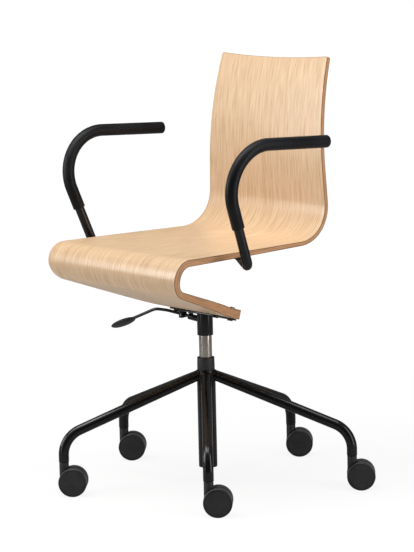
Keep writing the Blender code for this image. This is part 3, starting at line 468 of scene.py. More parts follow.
def zinc_finish(settings):
    """Zinc-plated small parts."""
    made = Finish("zinc_steel", 0.36, metallic=1.0)
    place = made.place()
    spangle = made.noise(place, 420.0, 3.0)
    darker = [0.72 * part for part in settings.zinc]
    colour = made.mix(made.limit(spangle, 0.35, 0.7), settings.zinc, darker)
    made.feed(made.shader.inputs["Base Color"], colour)
    made.feed(made.shader.inputs["Roughness"], made.limit(spangle, 0.3, 0.7, 0.30, 0.46))
    made.bump(spangle, 0.08, 0.0001)
    return made.material


def finish(name):
    """Returns a finish, made when it is first asked for."""
    if name in bpy.data.materials:
        return bpy.data.materials[name]
    scene = bpy.context.scene
    makers = {
        "oak_veneer": lambda: veneer_finish(scene.chair_shell),
        "ply_edge": lambda: edge_finish(scene.chair_shell),
        "gloss_black_paint": lambda: paint_finish(scene.chair_tubes),
        "soft_black_grip": lambda: grip_finish(scene.chair_tubes),
        "nylon_black": lambda: moulded_finish(
            "nylon_black", scene.chair_casters.nylon, 0.52, 1300.0, 0.16
        ),
        "tread_black": lambda: moulded_finish(
            "tread_black", scene.chair_casters.tread, 0.36, 900.0, 0.10, 0.6
        ),
        "pebbled_black": lambda: moulded_finish(
            "pebbled_black", (0.0150, 0.0150, 0.0160), 0.48, 700.0, 0.55
        ),
        "nickel_steel": lambda: nickel_finish(scene.chair_column),
        "zinc_steel": lambda: zinc_finish(scene.chair_column),
    }
    return makers[name]()


# Geometry node trees


def new_node_tree(name, inputs):
    """Starts a geometry tree with named inputs and returns it with its input and output nodes."""
    tree = bpy.data.node_groups.new(name, "GeometryNodeTree")
    tree.interface.new_socket("Geometry", in_out="INPUT", socket_type="NodeSocketGeometry")
    for label, kind in inputs:
        tree.interface.new_socket(label, in_out="INPUT", socket_type=kind)
    tree.interface.new_socket("Geometry", in_out="OUTPUT", socket_type="NodeSocketGeometry")
    return tree, tree.nodes.new("NodeGroupInput"), tree.nodes.new("NodeGroupOutput")


def close_node_tree(tree, given, out, geometry):
    """Ends a tree with real geometry in the material that it is given."""
    real = tree.nodes.new("GeometryNodeRealizeInstances")
    coat = tree.nodes.new("GeometryNodeSetMaterial")
    tree.links.new(geometry, real.inputs["Geometry"])
    tree.links.new(real.outputs["Geometry"], coat.inputs["Geometry"])
    tree.links.new(given.outputs["Material"], coat.inputs["Material"])
    tree.links.new(coat.outputs["Geometry"], out.inputs["Geometry"])
    return tree


def tube_tree():
    """A round bar swept along a curve, thinner where the curve's own radius is smaller."""
    if "sweep_tube" in bpy.data.node_groups:
        return bpy.data.node_groups["sweep_tube"]
    inputs = [("Radius", "NodeSocketFloat"), ("Sides", "NodeSocketInt"), ("Material", "NodeSocketMaterial")]
    tree, given, out = new_node_tree("sweep_tube", inputs)
    ring = tree.nodes.new("GeometryNodeCurvePrimitiveCircle")
    sweep = tree.nodes.new("GeometryNodeCurveToMesh")
    smooth = tree.nodes.new("GeometryNodeSetShadeSmooth")
    sweep.inputs["Fill Caps"].default_value = True
    tree.links.new(given.outputs["Radius"], ring.inputs["Radius"])
    tree.links.new(given.outputs["Sides"], ring.inputs["Resolution"])
    tree.links.new(given.outputs["Geometry"], sweep.inputs["Curve"])
    tree.links.new(ring.outputs["Curve"], sweep.inputs["Profile Curve"])
    if "Scale" in sweep.inputs:
        width = tree.nodes.new("GeometryNodeInputRadius")
        tree.links.new(width.outputs["Radius"], sweep.inputs["Scale"])
    tree.links.new(sweep.outputs["Mesh"], smooth.inputs["Geometry"])
    return close_node_tree(tree, given, out, smooth.outputs["Geometry"])


def repeat_tree():
    """One mesh repeated on points, turned as each point says."""
    if "repeat_piece" in bpy.data.node_groups:
        return bpy.data.node_groups["repeat_piece"]
    inputs = [("Piece", "NodeSocketObject"), ("Material", "NodeSocketMaterial")]
    tree, given, out = new_node_tree("repeat_piece", inputs)
    piece = tree.nodes.new("GeometryNodeObjectInfo")
    turn = tree.nodes.new("GeometryNodeInputNamedAttribute")
    turn.data_type = "FLOAT_VECTOR"
    turn.inputs["Name"].default_value = "turn"
    angles = tree.nodes.new("FunctionNodeEulerToRotation")
    copies = tree.nodes.new("GeometryNodeInstanceOnPoints")
    vector = next(s for s in turn.outputs if s.enabled and s.name == "Attribute")
    tree.links.new(given.outputs["Piece"], piece.inputs["Object"])
    tree.links.new(given.outputs["Geometry"], copies.inputs["Points"])
    tree.links.new(piece.outputs["Geometry"], copies.inputs["Instance"])
    tree.links.new(vector, angles.inputs["Euler"])
    tree.links.new(angles.outputs["Rotation"], copies.inputs["Rotation"])
    return close_node_tree(tree, given, out, copies.outputs["Instances"])


def run_tree(obj, tree, values):
    """Runs a geometry tree on an object and returns its result as a plain mesh."""
    step = obj.modifiers.new("nodes", "NODES")
    step.node_group = tree
    for item in tree.interface.items_tree:
        if item.in_out == "INPUT" and item.name in values:
            step[item.identifier] = values[item.name]
    mesh = baked(obj)
    obj.modifiers.remove(step)
    bpy.data.objects.remove(obj, do_unlink=True)
    return mesh


# Shapes


def baked(obj):
    """Returns an object's shape, its modifiers included, as a plain mesh."""
    bpy.context.view_layer.update()
    graph = bpy.context.evaluated_depsgraph_get()
    return bpy.data.meshes.new_from_object(obj.evaluated_get(graph))


def new_object(name, data):
    """Adds an object to the scene."""
    obj = bpy.data.objects.new(name, data)
    bpy.context.scene.collection.objects.link(obj)
    return obj


def add_piece(name, mesh, body, replaces=(), matrix=None, angle=32.0):
    """Adds a finished mesh as a piece that rides on a body."""
    if matrix is not None:
        mesh.transform(matrix)
    mesh.name = name
    mesh.shade_smooth()
    mesh.set_sharp_from_angle(angle=math.radians(angle))
    piece = new_object(name, mesh)
    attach(piece, body)
    if replaces:
        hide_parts(*replaces)
    return piece


def coated(mesh, *names):
    """Gives a mesh its finishes. Clearing would also reset its faces, so an uncoated one isn't cleared."""
    if len(mesh.materials) > 0:
        mesh.materials.clear()
    for name in names:
        mesh.materials.append(finish(name))
    return mesh


def at_axis(matrix=None):
    """Returns the matrix that carries a place beside the column's axis into the frame."""
    return Matrix.Translation(origin) @ (matrix or Matrix.Identity(4))


def turn_about(axis, degrees):
    """Returns a rotation about one of the main axes."""
    return Matrix.Rotation(math.radians(degrees), 4, axis)


def soften(outline, radius, closed=False):
    """Rounds every corner of an outline of radius and height pairs."""
    points = [Vector(p) for p in outline]
    made = []
    for i, corner in enumerate(points):
        if not closed and i in (0, len(points) - 1):
            made.append(corner)
            continue
        before, after = points[i - 1], points[(i + 1) % len(points)]
        back, ahead = before - corner, after - corner
        reach = min(radius, back.length * 0.45, ahead.length * 0.45)
        back, ahead = back.normalized() * reach, ahead.normalized() * reach
        for step in range(4):
            t = step / 3.0
            made.append(corner + back * (1.0 - t) ** 2 + ahead * t**2)
    return [(p.x, p.y) for p in made]


def turned_mesh(name, outline, segments, closed=False):
    """Spins an outline of radius and height pairs, which runs down the outer side, round its axis."""
    shape = bmesh.new()
    rings = []
    for radius, height in outline:
        if radius < 1e-7:
            rings.append([shape.verts.new((0.0, 0.0, height))])
            continue
        ring = []
        for i in range(segments):
            angle = 2.0 * math.pi * i / segments
            ring.append(shape.verts.new((radius * math.cos(angle), radius * math.sin(angle), height)))
        rings.append(ring)
    pairs = list(zip(rings, rings[1:])) + ([(rings[-1], rings[0])] if closed else [])
    for upper, lower in pairs:
        for i in range(segments):
            corners = [
                upper[i % len(upper)],
                lower[i % len(lower)],
                lower[(i + 1) % len(lower)],
                upper[(i + 1) % len(upper)],
            ]
            corners = list(dict.fromkeys(corners))
            if len(corners) > 2:
                shape.faces.new(corners)
    bmesh.ops.remove_doubles(shape, verts=shape.verts, dist=1e-7)
    bmesh.ops.recalc_face_normals(shape, faces=shape.faces)
    mesh = bpy.data.meshes.new(name)
    shape.to_mesh(mesh)
    shape.free()
    return mesh


def route(start, direction, moves, step=FINE_STEP):
    """Follows straight runs and bends of (radius, angle, direction turned to), and returns the points."""
    place, heading = Vector(start), Vector(direction).normalized()
    points = [place.copy()]
    for move in moves:
        if isinstance(move, float):
            place = place + heading * move
            points.append(place.copy())
            continue
        radius, angle, towards = move
        side = Vector(towards)
        side = (side - heading * side.dot(heading)).normalized()
        centre = place + side * radius
        count = max(2, math.ceil(angle / step))
        for i in range(1, count + 1):
            turned = math.radians(angle) * i / count
            points.append(centre - side * radius * math.cos(turned) + heading * radius * math.sin(turned))
        place = points[-1]
        heading = heading * math.cos(turned) + side * math.sin(turned)
    return points


def round_ends(points, radius, start=0.0, end=0.0):
    """Rounds the ends of a swept bar: returns its points and how wide it is at each."""
    widths = [1.0] * len(points)
    for rounding, first in ((end, False), (start, True)):
        if rounding == 0.0:
            continue
        tip, inner = (points[0], points[1]) if first else (points[-1], points[-2])
        along = (inner - tip).normalized()
        extra, wide = [], []
        for i in range(6):
            angle = math.pi / 2.0 * i / 5.0
            extra.append(tip + along * rounding * (1.0 - math.cos(angle)))
            wide.append(1.0 - rounding * (1.0 - math.sin(angle)) / radius)
        if first:
            points, widths = extra + points[1:], wide + widths[1:]
        else:
            points, widths = points[:-1] + extra[::-1], widths[:-1] + wide[::-1]
    return points, widths


def swept_mesh(name, paths, radius, material, sides=None):
    """Sweeps a round bar along each path of (points, widths, closed) with the tube's node tree."""
    curve = bpy.data.curves.new(name, "CURVE")
    curve.dimensions = "3D"
    for points, widths, cyclic in paths:
        spline = curve.splines.new("POLY")
        spline.points.add(len(points) - 1)
        spline.use_cyclic_u = cyclic
        for point, place, width in zip(spline.points, points, widths):
            point.co = (*(place + origin), 1.0)
            point.radius = width
    holder = new_object(name + "_path", curve)
    values = {
        "Radius": radius,
        "Sides": sides or bpy.context.scene.chair_tubes.sides,
        "Material": finish(material),
    }
    return clean(run_tree(holder, tube_tree(), values))


def clean(mesh):
    """Merges doubled points and turns the faces outwards."""
    shape = bmesh.new()
    shape.from_mesh(mesh)
    bmesh.ops.remove_doubles(shape, verts=shape.verts, dist=1e-6)
    bmesh.ops.recalc_face_normals(shape, faces=shape.faces)
    shape.to_mesh(mesh)
    shape.free()
    return mesh


def carve(mesh, tool, operation="DIFFERENCE"):
    """Cuts one mesh out of another, or joins it on."""
    first = new_object("carved", mesh)
    second = new_object("tool", tool)
    step = first.modifiers.new("carve", "BOOLEAN")
    step.operation = operation
    step.solver = "EXACT"
    step.object = second
    made = baked(first)
    for obj in (first, second):
        bpy.data.objects.remove(obj, do_unlink=True)
    return made


def cylinder(radius, low, high, matrix=None, segments=64):
    """Returns a plain cylinder as a tool for carving."""
    outline = [(0.0, high), (radius, high), (radius, low), (0.0, low)]
    mesh = turned_mesh("tool", outline, segments)
    if matrix is not None:
        mesh.transform(matrix)
    return mesh


def refined(name, body, material, rounding):
    """Stands a copy of a CAD node in its place, merged and with its sharp edges rounded."""
    shape = bmesh.new()
    shape.from_mesh(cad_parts[name].data)
    bmesh.ops.remove_doubles(shape, verts=shape.verts, dist=2e-6)
    bmesh.ops.dissolve_limit(
        shape, angle_limit=math.radians(1.0), verts=shape.verts, edges=shape.edges
    )
    mesh = bpy.data.meshes.new(name + "_fine")
    shape.to_mesh(mesh)
    shape.free()
    holder = new_object("refined", mesh)
    step = holder.modifiers.new("edges", "BEVEL")
    step.width = rounding
    step.segments = 2
    step.limit_method = "ANGLE"
    step.angle_limit = math.radians(40.0)
    made = baked(holder)
    bpy.data.objects.remove(holder, do_unlink=True)
    return add_piece(name + "_fine", coated(made, material), body, [name])


def recoat(material, *nodes):
    """Gives CAD nodes a better material."""
    for name in nodes:
        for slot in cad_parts[name].material_slots:
            slot.material = finish(material)


# Shell


def shell_line():
    """Returns the starts, moves and states of the shell's side line."""
    down, level = 270.0 - BACK_LEAN, 180.0 + SEAT_FALL
    moves = [
        (BACK_BEND[0] * math.radians(BACK_BEND[1]), 1.0 / BACK_BEND[0]),
        (BACK_STRAIGHT, 0.0),
        (SEAT_BEND_RADIUS * math.radians(down + BACK_BEND[1] - level), -1.0 / SEAT_BEND_RADIUS),
        (SEAT_LENGTH, 0.0),
        (NOSE_RADIUS * math.radians(360.0 - TAIL_FALL - level), 1.0 / NOSE_RADIUS),
        (TAIL_SLOPE, 0.0),
        (TAIL_BEND_RADIUS * math.radians(TAIL_FALL - TAIL_END_FALL), 1.0 / TAIL_BEND_RADIUS),
        (TAIL_END_LENGTH, 0.0),
    ]
    starts, states = [0.0], [(*SHELL_TOP, math.radians(down))]
    for length, bend in moves:
        states.append(advance(states[-1], length, bend))
        starts.append(starts[-1] + length)
    return starts, moves, states


def advance(state, length, bend):
    """Moves along a run of the side line."""
    y, z, heading = state
    if bend == 0.0:
        return y + math.cos(heading) * length, z + math.sin(heading) * length, heading
    after = heading + bend * length
    y += (math.sin(after) - math.sin(heading)) / bend
    z -= (math.cos(after) - math.cos(heading)) / bend
    return y, z, after


STARTS, MOVES, STATES = shell_line()


def line_at(distance):
    """Returns the place and heading of the shell's outer side, at a distance from the top."""
    i = int(np.clip(np.searchsorted(STARTS, distance) - 1, 0, len(MOVES) - 1))
    return advance(STATES[i], distance - STARTS[i], MOVES[i][1])


def wall_at(distance):
    """Returns the shell's thickness."""
    marks = [0.0, STARTS[3], STARTS[4], STARTS[5], STARTS[6], STARTS[8]]
    sizes = [BACK_THICKNESS] * 2 + [SEAT_THICKNESS] * 2 + [TAIL_THICKNESS] * 2
    return float(np.interp(distance, marks, sizes))


def half_width_at(distance):
    """Returns half the shell's width, rounded off at its two ends."""
    middle = (STARTS[4] + STARTS[5]) / 2.0
    marks = [0.0, STARTS[2], STARTS[4], middle, STARTS[5] + 0.030, STARTS[6] - 0.052, STARTS[8]]
    slopes = np.gradient(HALF_WIDTHS, marks)
    i = int(np.clip(np.searchsorted(marks, distance) - 1, 0, len(marks) - 2))
    span = marks[i + 1] - marks[i]
    t = min(max((distance - marks[i]) / span, 0.0), 1.0)
    width = HALF_WIDTHS[i] * (1 + 2 * t) * (1 - t) ** 2 + HALF_WIDTHS[i + 1] * t * t * (3 - 2 * t)
    width += (slopes[i] * t * (1 - t) ** 2 + slopes[i + 1] * t * t * (t - 1)) * span
    from_end = min(distance, STARTS[8] - distance)
    if from_end < CORNER_RADIUS:
        inset = CORNER_RADIUS - from_end
        width -= CORNER_RADIUS - math.sqrt(CORNER_RADIUS**2 - inset**2)
    return float(width)


def shell_rows(rounding):
    """Returns the mesh's rows as pairs of a distance and an inset that rounds the two ends."""
    length = STARTS[8]
    inner = set()
    for start, (run, bend) in zip(STARTS, MOVES):
        count = max(1, math.ceil(abs(math.degrees(run * bend)) / 3.0), round(run / 0.012))
        inner.update(start + run * i / count for i in range(count + 1))
    for i in range(1, 7):
        reach = CORNER_RADIUS * (1.0 - math.cos(math.pi / 2.0 * i / 6.0))
        inner.update({reach, length - reach})
    inner = [d for d in sorted(inner) if rounding * 1.05 < d < length - rounding * 1.05]
    ends = []
    for i in range(4):
        angle = math.pi / 2.0 * i / 3.0
        ends.append((rounding * (1.0 - math.cos(angle)), rounding * (1.0 - math.sin(angle))))
    tail = [(length - distance, inset) for distance, inset in reversed(ends)]
    return ends + [(distance, 0.0) for distance in inner] + tail


def shell_section(half, wall, inset, rounding, columns):
    """Returns one closed section as (across, depth, region) with rounded corners."""
    corner = max(rounding - inset, 0.0)
    edge_steps = 8
    outer = [
        (-half + inset + corner + (2.0 * (half - inset - corner)) * i / columns, inset, 0)
        for i in range(columns + 1)
    ]
    section = list(outer)
    quarter = [math.pi / 2.0 * i / 3.0 for i in range(1, 4)]
    for angle in quarter:
        across = half - inset - corner + corner * math.sin(angle)
        section.append((across, inset + corner - corner * math.cos(angle), 1))
    low, high = inset + corner, wall - inset - corner
    for i in range(1, edge_steps + 1):
        section.append((half - inset, low + (high - low) * i / edge_steps, 1))
    for angle in quarter:
        across = half - inset - corner + corner * math.cos(angle)
        section.append((across, high + corner * math.sin(angle), 1))
    section += [(-across, wall - inset, 0) for across, _, _ in outer][1:]
    for angle in quarter:
        across = half - inset - corner + corner * math.sin(angle)
        section.append((-across, high + corner * math.cos(angle), 1))
    for i in range(1, edge_steps + 1):
        section.append((-half + inset, high - (high - low) * i / edge_steps, 1))
    for angle in quarter[:-1]:
        across = half - inset - corner + corner * math.cos(angle)
        section.append((-across, low - corner * math.sin(angle), 1))
    return section


def shell_point(across, depth, distance, half):
    """Carries a place in the flat sheet onto the bent shell."""
    sag = TOP_SAG * max(0.0, 1.0 - (across / half) ** 2) * max(0.0, 1.0 - distance / 0.10)
    y, z, heading = line_at(distance + sag)
    return Vector((across, y - math.sin(heading) * depth, z + math.cos(heading) * depth)) + origin


def make_shell(settings):
    """Makes the shell: closed sections along the side line, with the cut ends filled by rows."""
    rounding = settings.edge_rounding
    rows = shell_rows(rounding)
    shape = bmesh.new()
    uv = shape.loops.layers.uv.new("veneer")
    depth_of = shape.verts.layers.float.new("ply_depth")
    wall_of = shape.verts.layers.float.new("ply_wall")
    grid, flats = [], []

    def new_vertex(across, depth, distance, half, wall):
        vertex = shape.verts.new(shell_point(across, depth, distance, half))
        vertex[depth_of] = depth
        vertex[wall_of] = wall
        return vertex

    for distance, inset in rows:
        half, wall = half_width_at(distance), wall_at(distance)
        section = shell_section(half, wall, inset, rounding, settings.columns)
        grid.append([new_vertex(a, d, distance, half, wall) for a, d, _ in section])
        flats.append([(a, d, region, distance) for a, d, region in section])

    def new_face(corners, spots, edge):
        distinct = list(dict.fromkeys(corners))
        if len(distinct) < 3:
            return
        face = shape.faces.new(distinct)
        face.material_index = 1 if edge else 0
        for loop in face.loops:
            across, depth, _, distance = spots[corners.index(loop.vert)]
            loop[uv].uv = (depth, distance) if edge else (across + 0.3, distance)

    count = len(grid[0])
    for k in range(len(grid) - 1):
        for i in range(count):
            j = (i + 1) % count
            corners = [grid[k][i], grid[k + 1][i], grid[k + 1][j], grid[k][j]]
            spots = [flats[k][i], flats[k + 1][i], flats[k + 1][j], flats[k][j]]
            edge = flats[k][i][2] == 1 or flats[k][j][2] == 1
            end = k < 3 or k >= len(grid) - 4
            new_face(corners, spots, edge or end)
    fill_end(grid[0], flats[0], new_face, new_vertex, settings.columns)
    fill_end(grid[-1], flats[-1], new_face, new_vertex, settings.columns)
    bmesh.ops.remove_doubles(shape, verts=shape.verts, dist=1e-7)
    bmesh.ops.recalc_face_normals(shape, faces=shape.faces)
    mesh = bpy.data.meshes.new("shell")
    shape.to_mesh(mesh)
    shape.free()
    coated(mesh, "oak_veneer", "ply_edge")
    return add_piece("plywood_shell", mesh, "seat", ["seat_shell"], angle=50.0)


def fill_end(ring, flats, new_face, new_vertex, columns):
    """Fills a cut end of the shell with rows of faces through its thickness."""
    steps = 8
    distance = flats[0][3]
    half, wall = half_width_at(distance), wall_at(distance)
    outer = list(range(columns + 1))
    inner_start = columns + 3 + steps + 3
    inner = [inner_start + columns - i for i in range(columns + 1)]
    lines, spots = [], []
    for i in range(columns + 1):
        first, last = flats[outer[i]], flats[inner[i]]
        line, spot = [], []
        for k in range(steps + 1):
            t = k / steps
            depth = first[1] + (last[1] - first[1]) * t
            if k == 0:
                line.append(ring[outer[i]])
            elif k == steps:
                line.append(ring[inner[i]])
            else:
                line.append(new_vertex(first[0], depth, distance, half, wall))
            spot.append((depth, depth, 1, first[0]))
        lines.append(line)
        spots.append(spot)
    for i in range(columns):
        for k in range(steps):
            corners = [lines[i][k], lines[i + 1][k], lines[i + 1][k + 1], lines[i][k + 1]]
            places = [spots[i][k], spots[i + 1][k], spots[i + 1][k + 1], spots[i][k + 1]]
            new_face(corners, places, True)


# Under the seat


def tail_matrix():
    """Returns the place of the mounting plate's frame, on the tail's under face above the column."""
    first, last = STARTS[5], STARTS[8]
    for _ in range(60):
        middle = (first + last) / 2.0
        if (line_at(middle)[0] > 0.0) == (line_at(first)[0] > 0.0):
            first = middle
        else:
            last = middle
    height = line_at(first)[1]
    return at_axis(Matrix.Translation((0.0, 0.0, height)) @ turn_about("X", -TAIL_END_FALL))


def bolt_head():
    """Returns the head of a button-head bolt with a hexagon socket."""
    outline = [
        (0.0, 0.0033),
        (0.0036, 0.0033),
        (0.0050, 0.0027),
        (0.0058, 0.0015),
        (0.0060, 0.0004),
        (0.0060, 0.0),
        (0.0, 0.0),
    ]
    head = turned_mesh("bolt_head", outline, 32)
    return carve(head, cylinder(0.0022, 0.0012, 0.0040, segments=6))


def make_bolts():
    """Repeats the bolt heads over the tail with a node tree."""
    matrix = tail_matrix()
    points = [matrix @ Vector((x, y, TAIL_THICKNESS + GAP)) for x, y in BOLTS]
    mesh = bpy.data.meshes.new("bolt_places")
    mesh.from_pydata(points, [], [])
    turn = mesh.attributes.new("turn", "FLOAT_VECTOR", "POINT")
    for item in turn.data:
        item.vector = matrix.to_euler()
    head = new_object("bolt_head", bolt_head())
    holder = new_object("bolt_places", mesh)
    values = {"Piece": head, "Material": finish("zinc_steel")}
    made = run_tree(holder, repeat_tree(), values)
    bpy.data.objects.remove(head, do_unlink=True)
    nodes = [f"tail_bolt_{k}" for k in range(1, 5)]
    add_piece("tail_bolt_heads", made, "seat", nodes)


def lever_height(reach):
    """Returns the height of the lever's inner run."""
    rod = bpy.context.scene.chair_lever.rod_radius
    bottom = LIFT_TOP + BUTTON_PROUD + GAP + rod
    return bottom + (LEVER_CORNERS[0][1] - bottom) * reach / LEVER_CORNERS[0][0]


def lever_point(reach, height):
    """Returns a place on the lever's line."""
    angle = math.radians(LEVER_HEADING)
    return Vector((math.cos(angle) * reach, math.sin(angle) * reach, height))


def make_socket(settings):
    """Makes the socket tube, cut off along the plate, with the lever's guide on its side."""
    radius, bore = settings.socket_radius, settings.lift_radius + GAP
    outline = [
        (radius, SOCKET_BOTTOM + 0.060),
        (radius, SOCKET_BOTTOM),
        (bore, SOCKET_BOTTOM),
        (0.0133, LIFT_TOP),
        (0.0133, SOCKET_BOTTOM + 0.060),
    ]
    outline = soften(outline, 0.0012, closed=True)
    tube = turned_mesh("socket", outline, settings.segments, closed=True)
    start, end = lever_point(0.0150, 0.0), lever_point(0.043, 0.0)
    start.z, end.z = lever_height(0.0150) - 0.0009, lever_height(0.043) - 0.0009
    turn = (end - start).to_track_quat("Z", "Y").to_matrix().to_4x4()
    guide_frame = Matrix.Translation(start) @ turn
    length = (end - start).length
    guide = soften([(0.0, length), (0.0066, length), (0.0066, 0.0), (0.0, 0.0)], 0.0008)
    guide = turned_mesh("guide", guide, 40)
    guide.transform(guide_frame)
    tube = carve(tube, guide, "UNION")
    tube = carve(tube, cylinder(0.0046, -0.012, 0.05, guide_frame, 32))
    tube.transform(Matrix.Translation(origin))
    tail = tail_matrix()
    block = cylinder(0.08, -0.0041, 0.09, tail, 16)
    tube = clean(carve(tube, block))
    add_piece("lift_socket", coated(tube, "gloss_black_paint"), "seat", ["socket_tube"])


# Column and legs


def make_column(settings):
    """Makes the column tube and the collar on it."""
    radius, rod = settings.column_radius, 0.0053
    inside = radius - 0.0019
    outline = [
        (radius, COLUMN_TOP),
        (radius, COLUMN_BOTTOM),
        (rod, COLUMN_BOTTOM),
        (rod, COLUMN_BOTTOM + 0.003),
        (inside, COLUMN_BOTTOM + 0.003),
        (inside, COLUMN_TOP),
    ]
    outline = soften(outline, 0.0016, closed=True)
    mesh = turned_mesh("column", outline, settings.segments, closed=True)
    coated(mesh, "gloss_black_paint")
    add_piece("base_column", mesh, "base", ["column_tube"], at_axis())
    low = COLUMN_TOP + GAP
    high = low + COLLAR_HEIGHT
    bore, sleeve = settings.lift_radius + GAP, inside - GAP
    outline = [
        (settings.collar_radius - 0.0004, high),
        (settings.collar_radius, low + 0.012),
        (settings.collar_radius, low),
        (sleeve, low),
        (sleeve, COLUMN_TOP - 0.070),
        (bore, COLUMN_TOP - 0.070),
        (bore, high - 0.0022),
        (bore + 0.0016, high - 0.0022),
        (bore + 0.0028, high),
    ]
    outline = soften(outline, 0.0009, closed=True)
    mesh = coated(turned_mesh("collar", outline, settings.segments, closed=True), "nylon_black")
    add_piece("column_collar", mesh, "base", ["column_bush"], at_axis())


def leg_points():
    """Returns one leg's centre line, along +X."""
    slope = math.radians(LEG_DROP)
    start_reach = 0.008
    run = (LEG_REACH - start_reach) / math.cos(slope) - LEG_TANGENT
    start = (start_reach, 0.0, LEG_AXIS_HEIGHT - start_reach * math.tan(slope))
    moves = [run, (LEG_BEND_RADIUS, 90.0 - LEG_DROP, (0.0, 0.0, -1.0)), LEG_STUB]
    return route(start, (math.cos(slope), 0.0, -math.sin(slope)), moves)


def weld_loop(leg_radius, column_radius, angle):
    """Returns the line where a leg meets the column, just proud of both."""
    slope = math.radians(LEG_DROP)
    turn = turn_about("Z", angle)
    points = []
    for i in range(48):
        around = 2.0 * math.pi * i / 48
        side = math.sin(around) * leg_radius
        rise = math.cos(around) * leg_radius
        reach = math.sqrt(column_radius**2 - side**2)
        centre = LEG_AXIS_HEIGHT - reach * math.tan(slope)
        points.append(turn @ Vector((reach, side, centre + rise / math.cos(slope))))
    return points


def make_legs(settings, column):
    """Makes the five legs, each cut to the column's round, and their weld beads."""
    radius = settings.leg_radius
    points, widths = round_ends(leg_points(), radius, end=0.0010)
    beads = []
    for number, angle in enumerate(LEG_ANGLES, start=1):
        turn = turn_about("Z", angle)
        path = [turn @ point for point in points]
        mesh = swept_mesh(f"leg_{number}_tube", [(path, widths, False)], radius, "gloss_black_paint")
        saddle = cylinder(column.column_radius + GAP, 0.20, 0.27, at_axis())
        mesh = coated(clean(carve(mesh, saddle)), "gloss_black_paint")
        add_piece(f"base_leg_{number}", mesh, "base", [f"leg_{number}"])
        loop = weld_loop(radius, column.column_radius, angle)
        random = np.random.default_rng(40 + number)
        beads.append((loop, [0.85 + 0.3 * value for value in random.random(len(loop))], True))
    mesh = swept_mesh("leg_weld_beads", beads, settings.weld_radius, "gloss_black_paint", 10)
    add_piece("leg_weld_beads", mesh, "base")


# Gas lift


def make_lift(settings):
    """Makes the lift's plated tube."""
    inside, rod = settings.lift_radius - 0.0022, 0.0053
    outline = [
        (0.0, 0.3337),
        (0.0043, 0.3337),
        (0.0043, LIFT_TOP),
        (0.0130, LIFT_TOP),
        (settings.lift_radius, SOCKET_BOTTOM + 0.001),
        (settings.lift_radius, 0.101),
        (rod, 0.101),
        (rod, 0.109),
        (inside, 0.109),
        (inside, 0.330),
        (0.0, 0.330),
    ]
    mesh = turned_mesh("lift", soften(outline, 0.0008), settings.segments)
    coated(mesh, "nickel_steel")
    add_piece("lift_piston", mesh, "seat", ["lift_tube"], at_axis())
    recoat("nickel_steel", "lift_rod")
    recoat("zinc_steel", "thrust_bearing", "retaining_clip", "release_button")


# Casters


def caster_matrix(angle):
    """Returns the frame of the caster under a leg."""
    foot = (LEG_REACH * math.cos(math.radians(angle)), LEG_REACH * math.sin(math.radians(angle)), 0.0)
    return at_axis(Matrix.Translation(foot) @ turn_about("Z", CASTER_HEADING))


def caster_body_mesh():
    """Makes the neck, hollowed beside the wheels, and the web between them."""
    hub = Matrix.Translation((CASTER_TRAIL, 0.0, HUB_HEIGHT))
    neck = [(0.0, NECK_TOP), (CASTER_NECK_RADIUS, NECK_TOP)]
    neck += [(CASTER_NECK_RADIUS, NECK_BOTTOM), (0.0, NECK_BOTTOM)]
    body = turned_mesh("caster_body", soften(neck, 0.0009), 48)
    for side in (-1.0, 1.0):
        well = hub @ turn_about("X", -90.0 * side)
        body = carve(body, cylinder(HUB_HEIGHT + WHEEL_ROOM, WEB_HALF_WIDTH, WELL_END, well))
    half = WEB_HALF_WIDTH - 0.0001
    outline = [(0.0, half), (WEB_RADIUS, half), (WEB_RADIUS, -half), (0.0, -half)]
    web = turned_mesh("web", soften(outline, 0.0010), 64)
    across = hub @ turn_about("X", -90.0)
    web.transform(across)
    body = carve(body, web, "UNION")
    hole = cylinder(AXLE_HOLE_RADIUS, -AXLE_HOLE_HALF_LENGTH, AXLE_HOLE_HALF_LENGTH, across, 24)
    body = carve(body, hole)
    stem_hole = cylinder(STEM_HOLE_RADIUS, STEM_HOLE_BOTTOM, STEM_HOLE_TOP, segments=24)
    return clean(carve(body, stem_hole))


def wheel_mesh(settings):
    """Makes one wheel: flat cap, groove, rounded running band and inner face."""
    radius, width, cap = settings.wheel_radius, settings.wheel_width, settings.cap_radius
    groove, lip = cap + 0.0006, cap + 0.0011
    outline = [
        (0.0, width - 0.0003),
        (0.0040, width - 0.0003),
        (0.0042, width - 0.0006),
        (cap - 0.0012, width - 0.0004),
        (cap - 0.0004, width - 0.0007),
        (cap, width - 0.0014),
        (groove, width - 0.0014),
        (groove + 0.0002, width - 0.0006),
        (lip, width - 0.0001),
        (radius - 0.0016, width),
        (radius - 0.0008, width - 0.0003),
        (radius - 0.0002, width - 0.0010),
        (radius, width - 0.0022),
        (radius, 0.0022),
        (radius - 0.0002, 0.0010),
        (radius - 0.0008, 0.0003),
        (radius - 0.0016, 0.0),
        (0.0034, 0.0),
        (0.0034, width - 0.003),
        (0.0, width - 0.003),
    ]
    mesh = turned_mesh("wheel", outline, 72)
    coated(mesh, "nylon_black", "tread_black")
    for face in mesh.polygons:
        reach = math.hypot(face.center.x, face.center.y)
        face.material_index = 1 if reach > lip - 0.0002 else 0
    return mesh


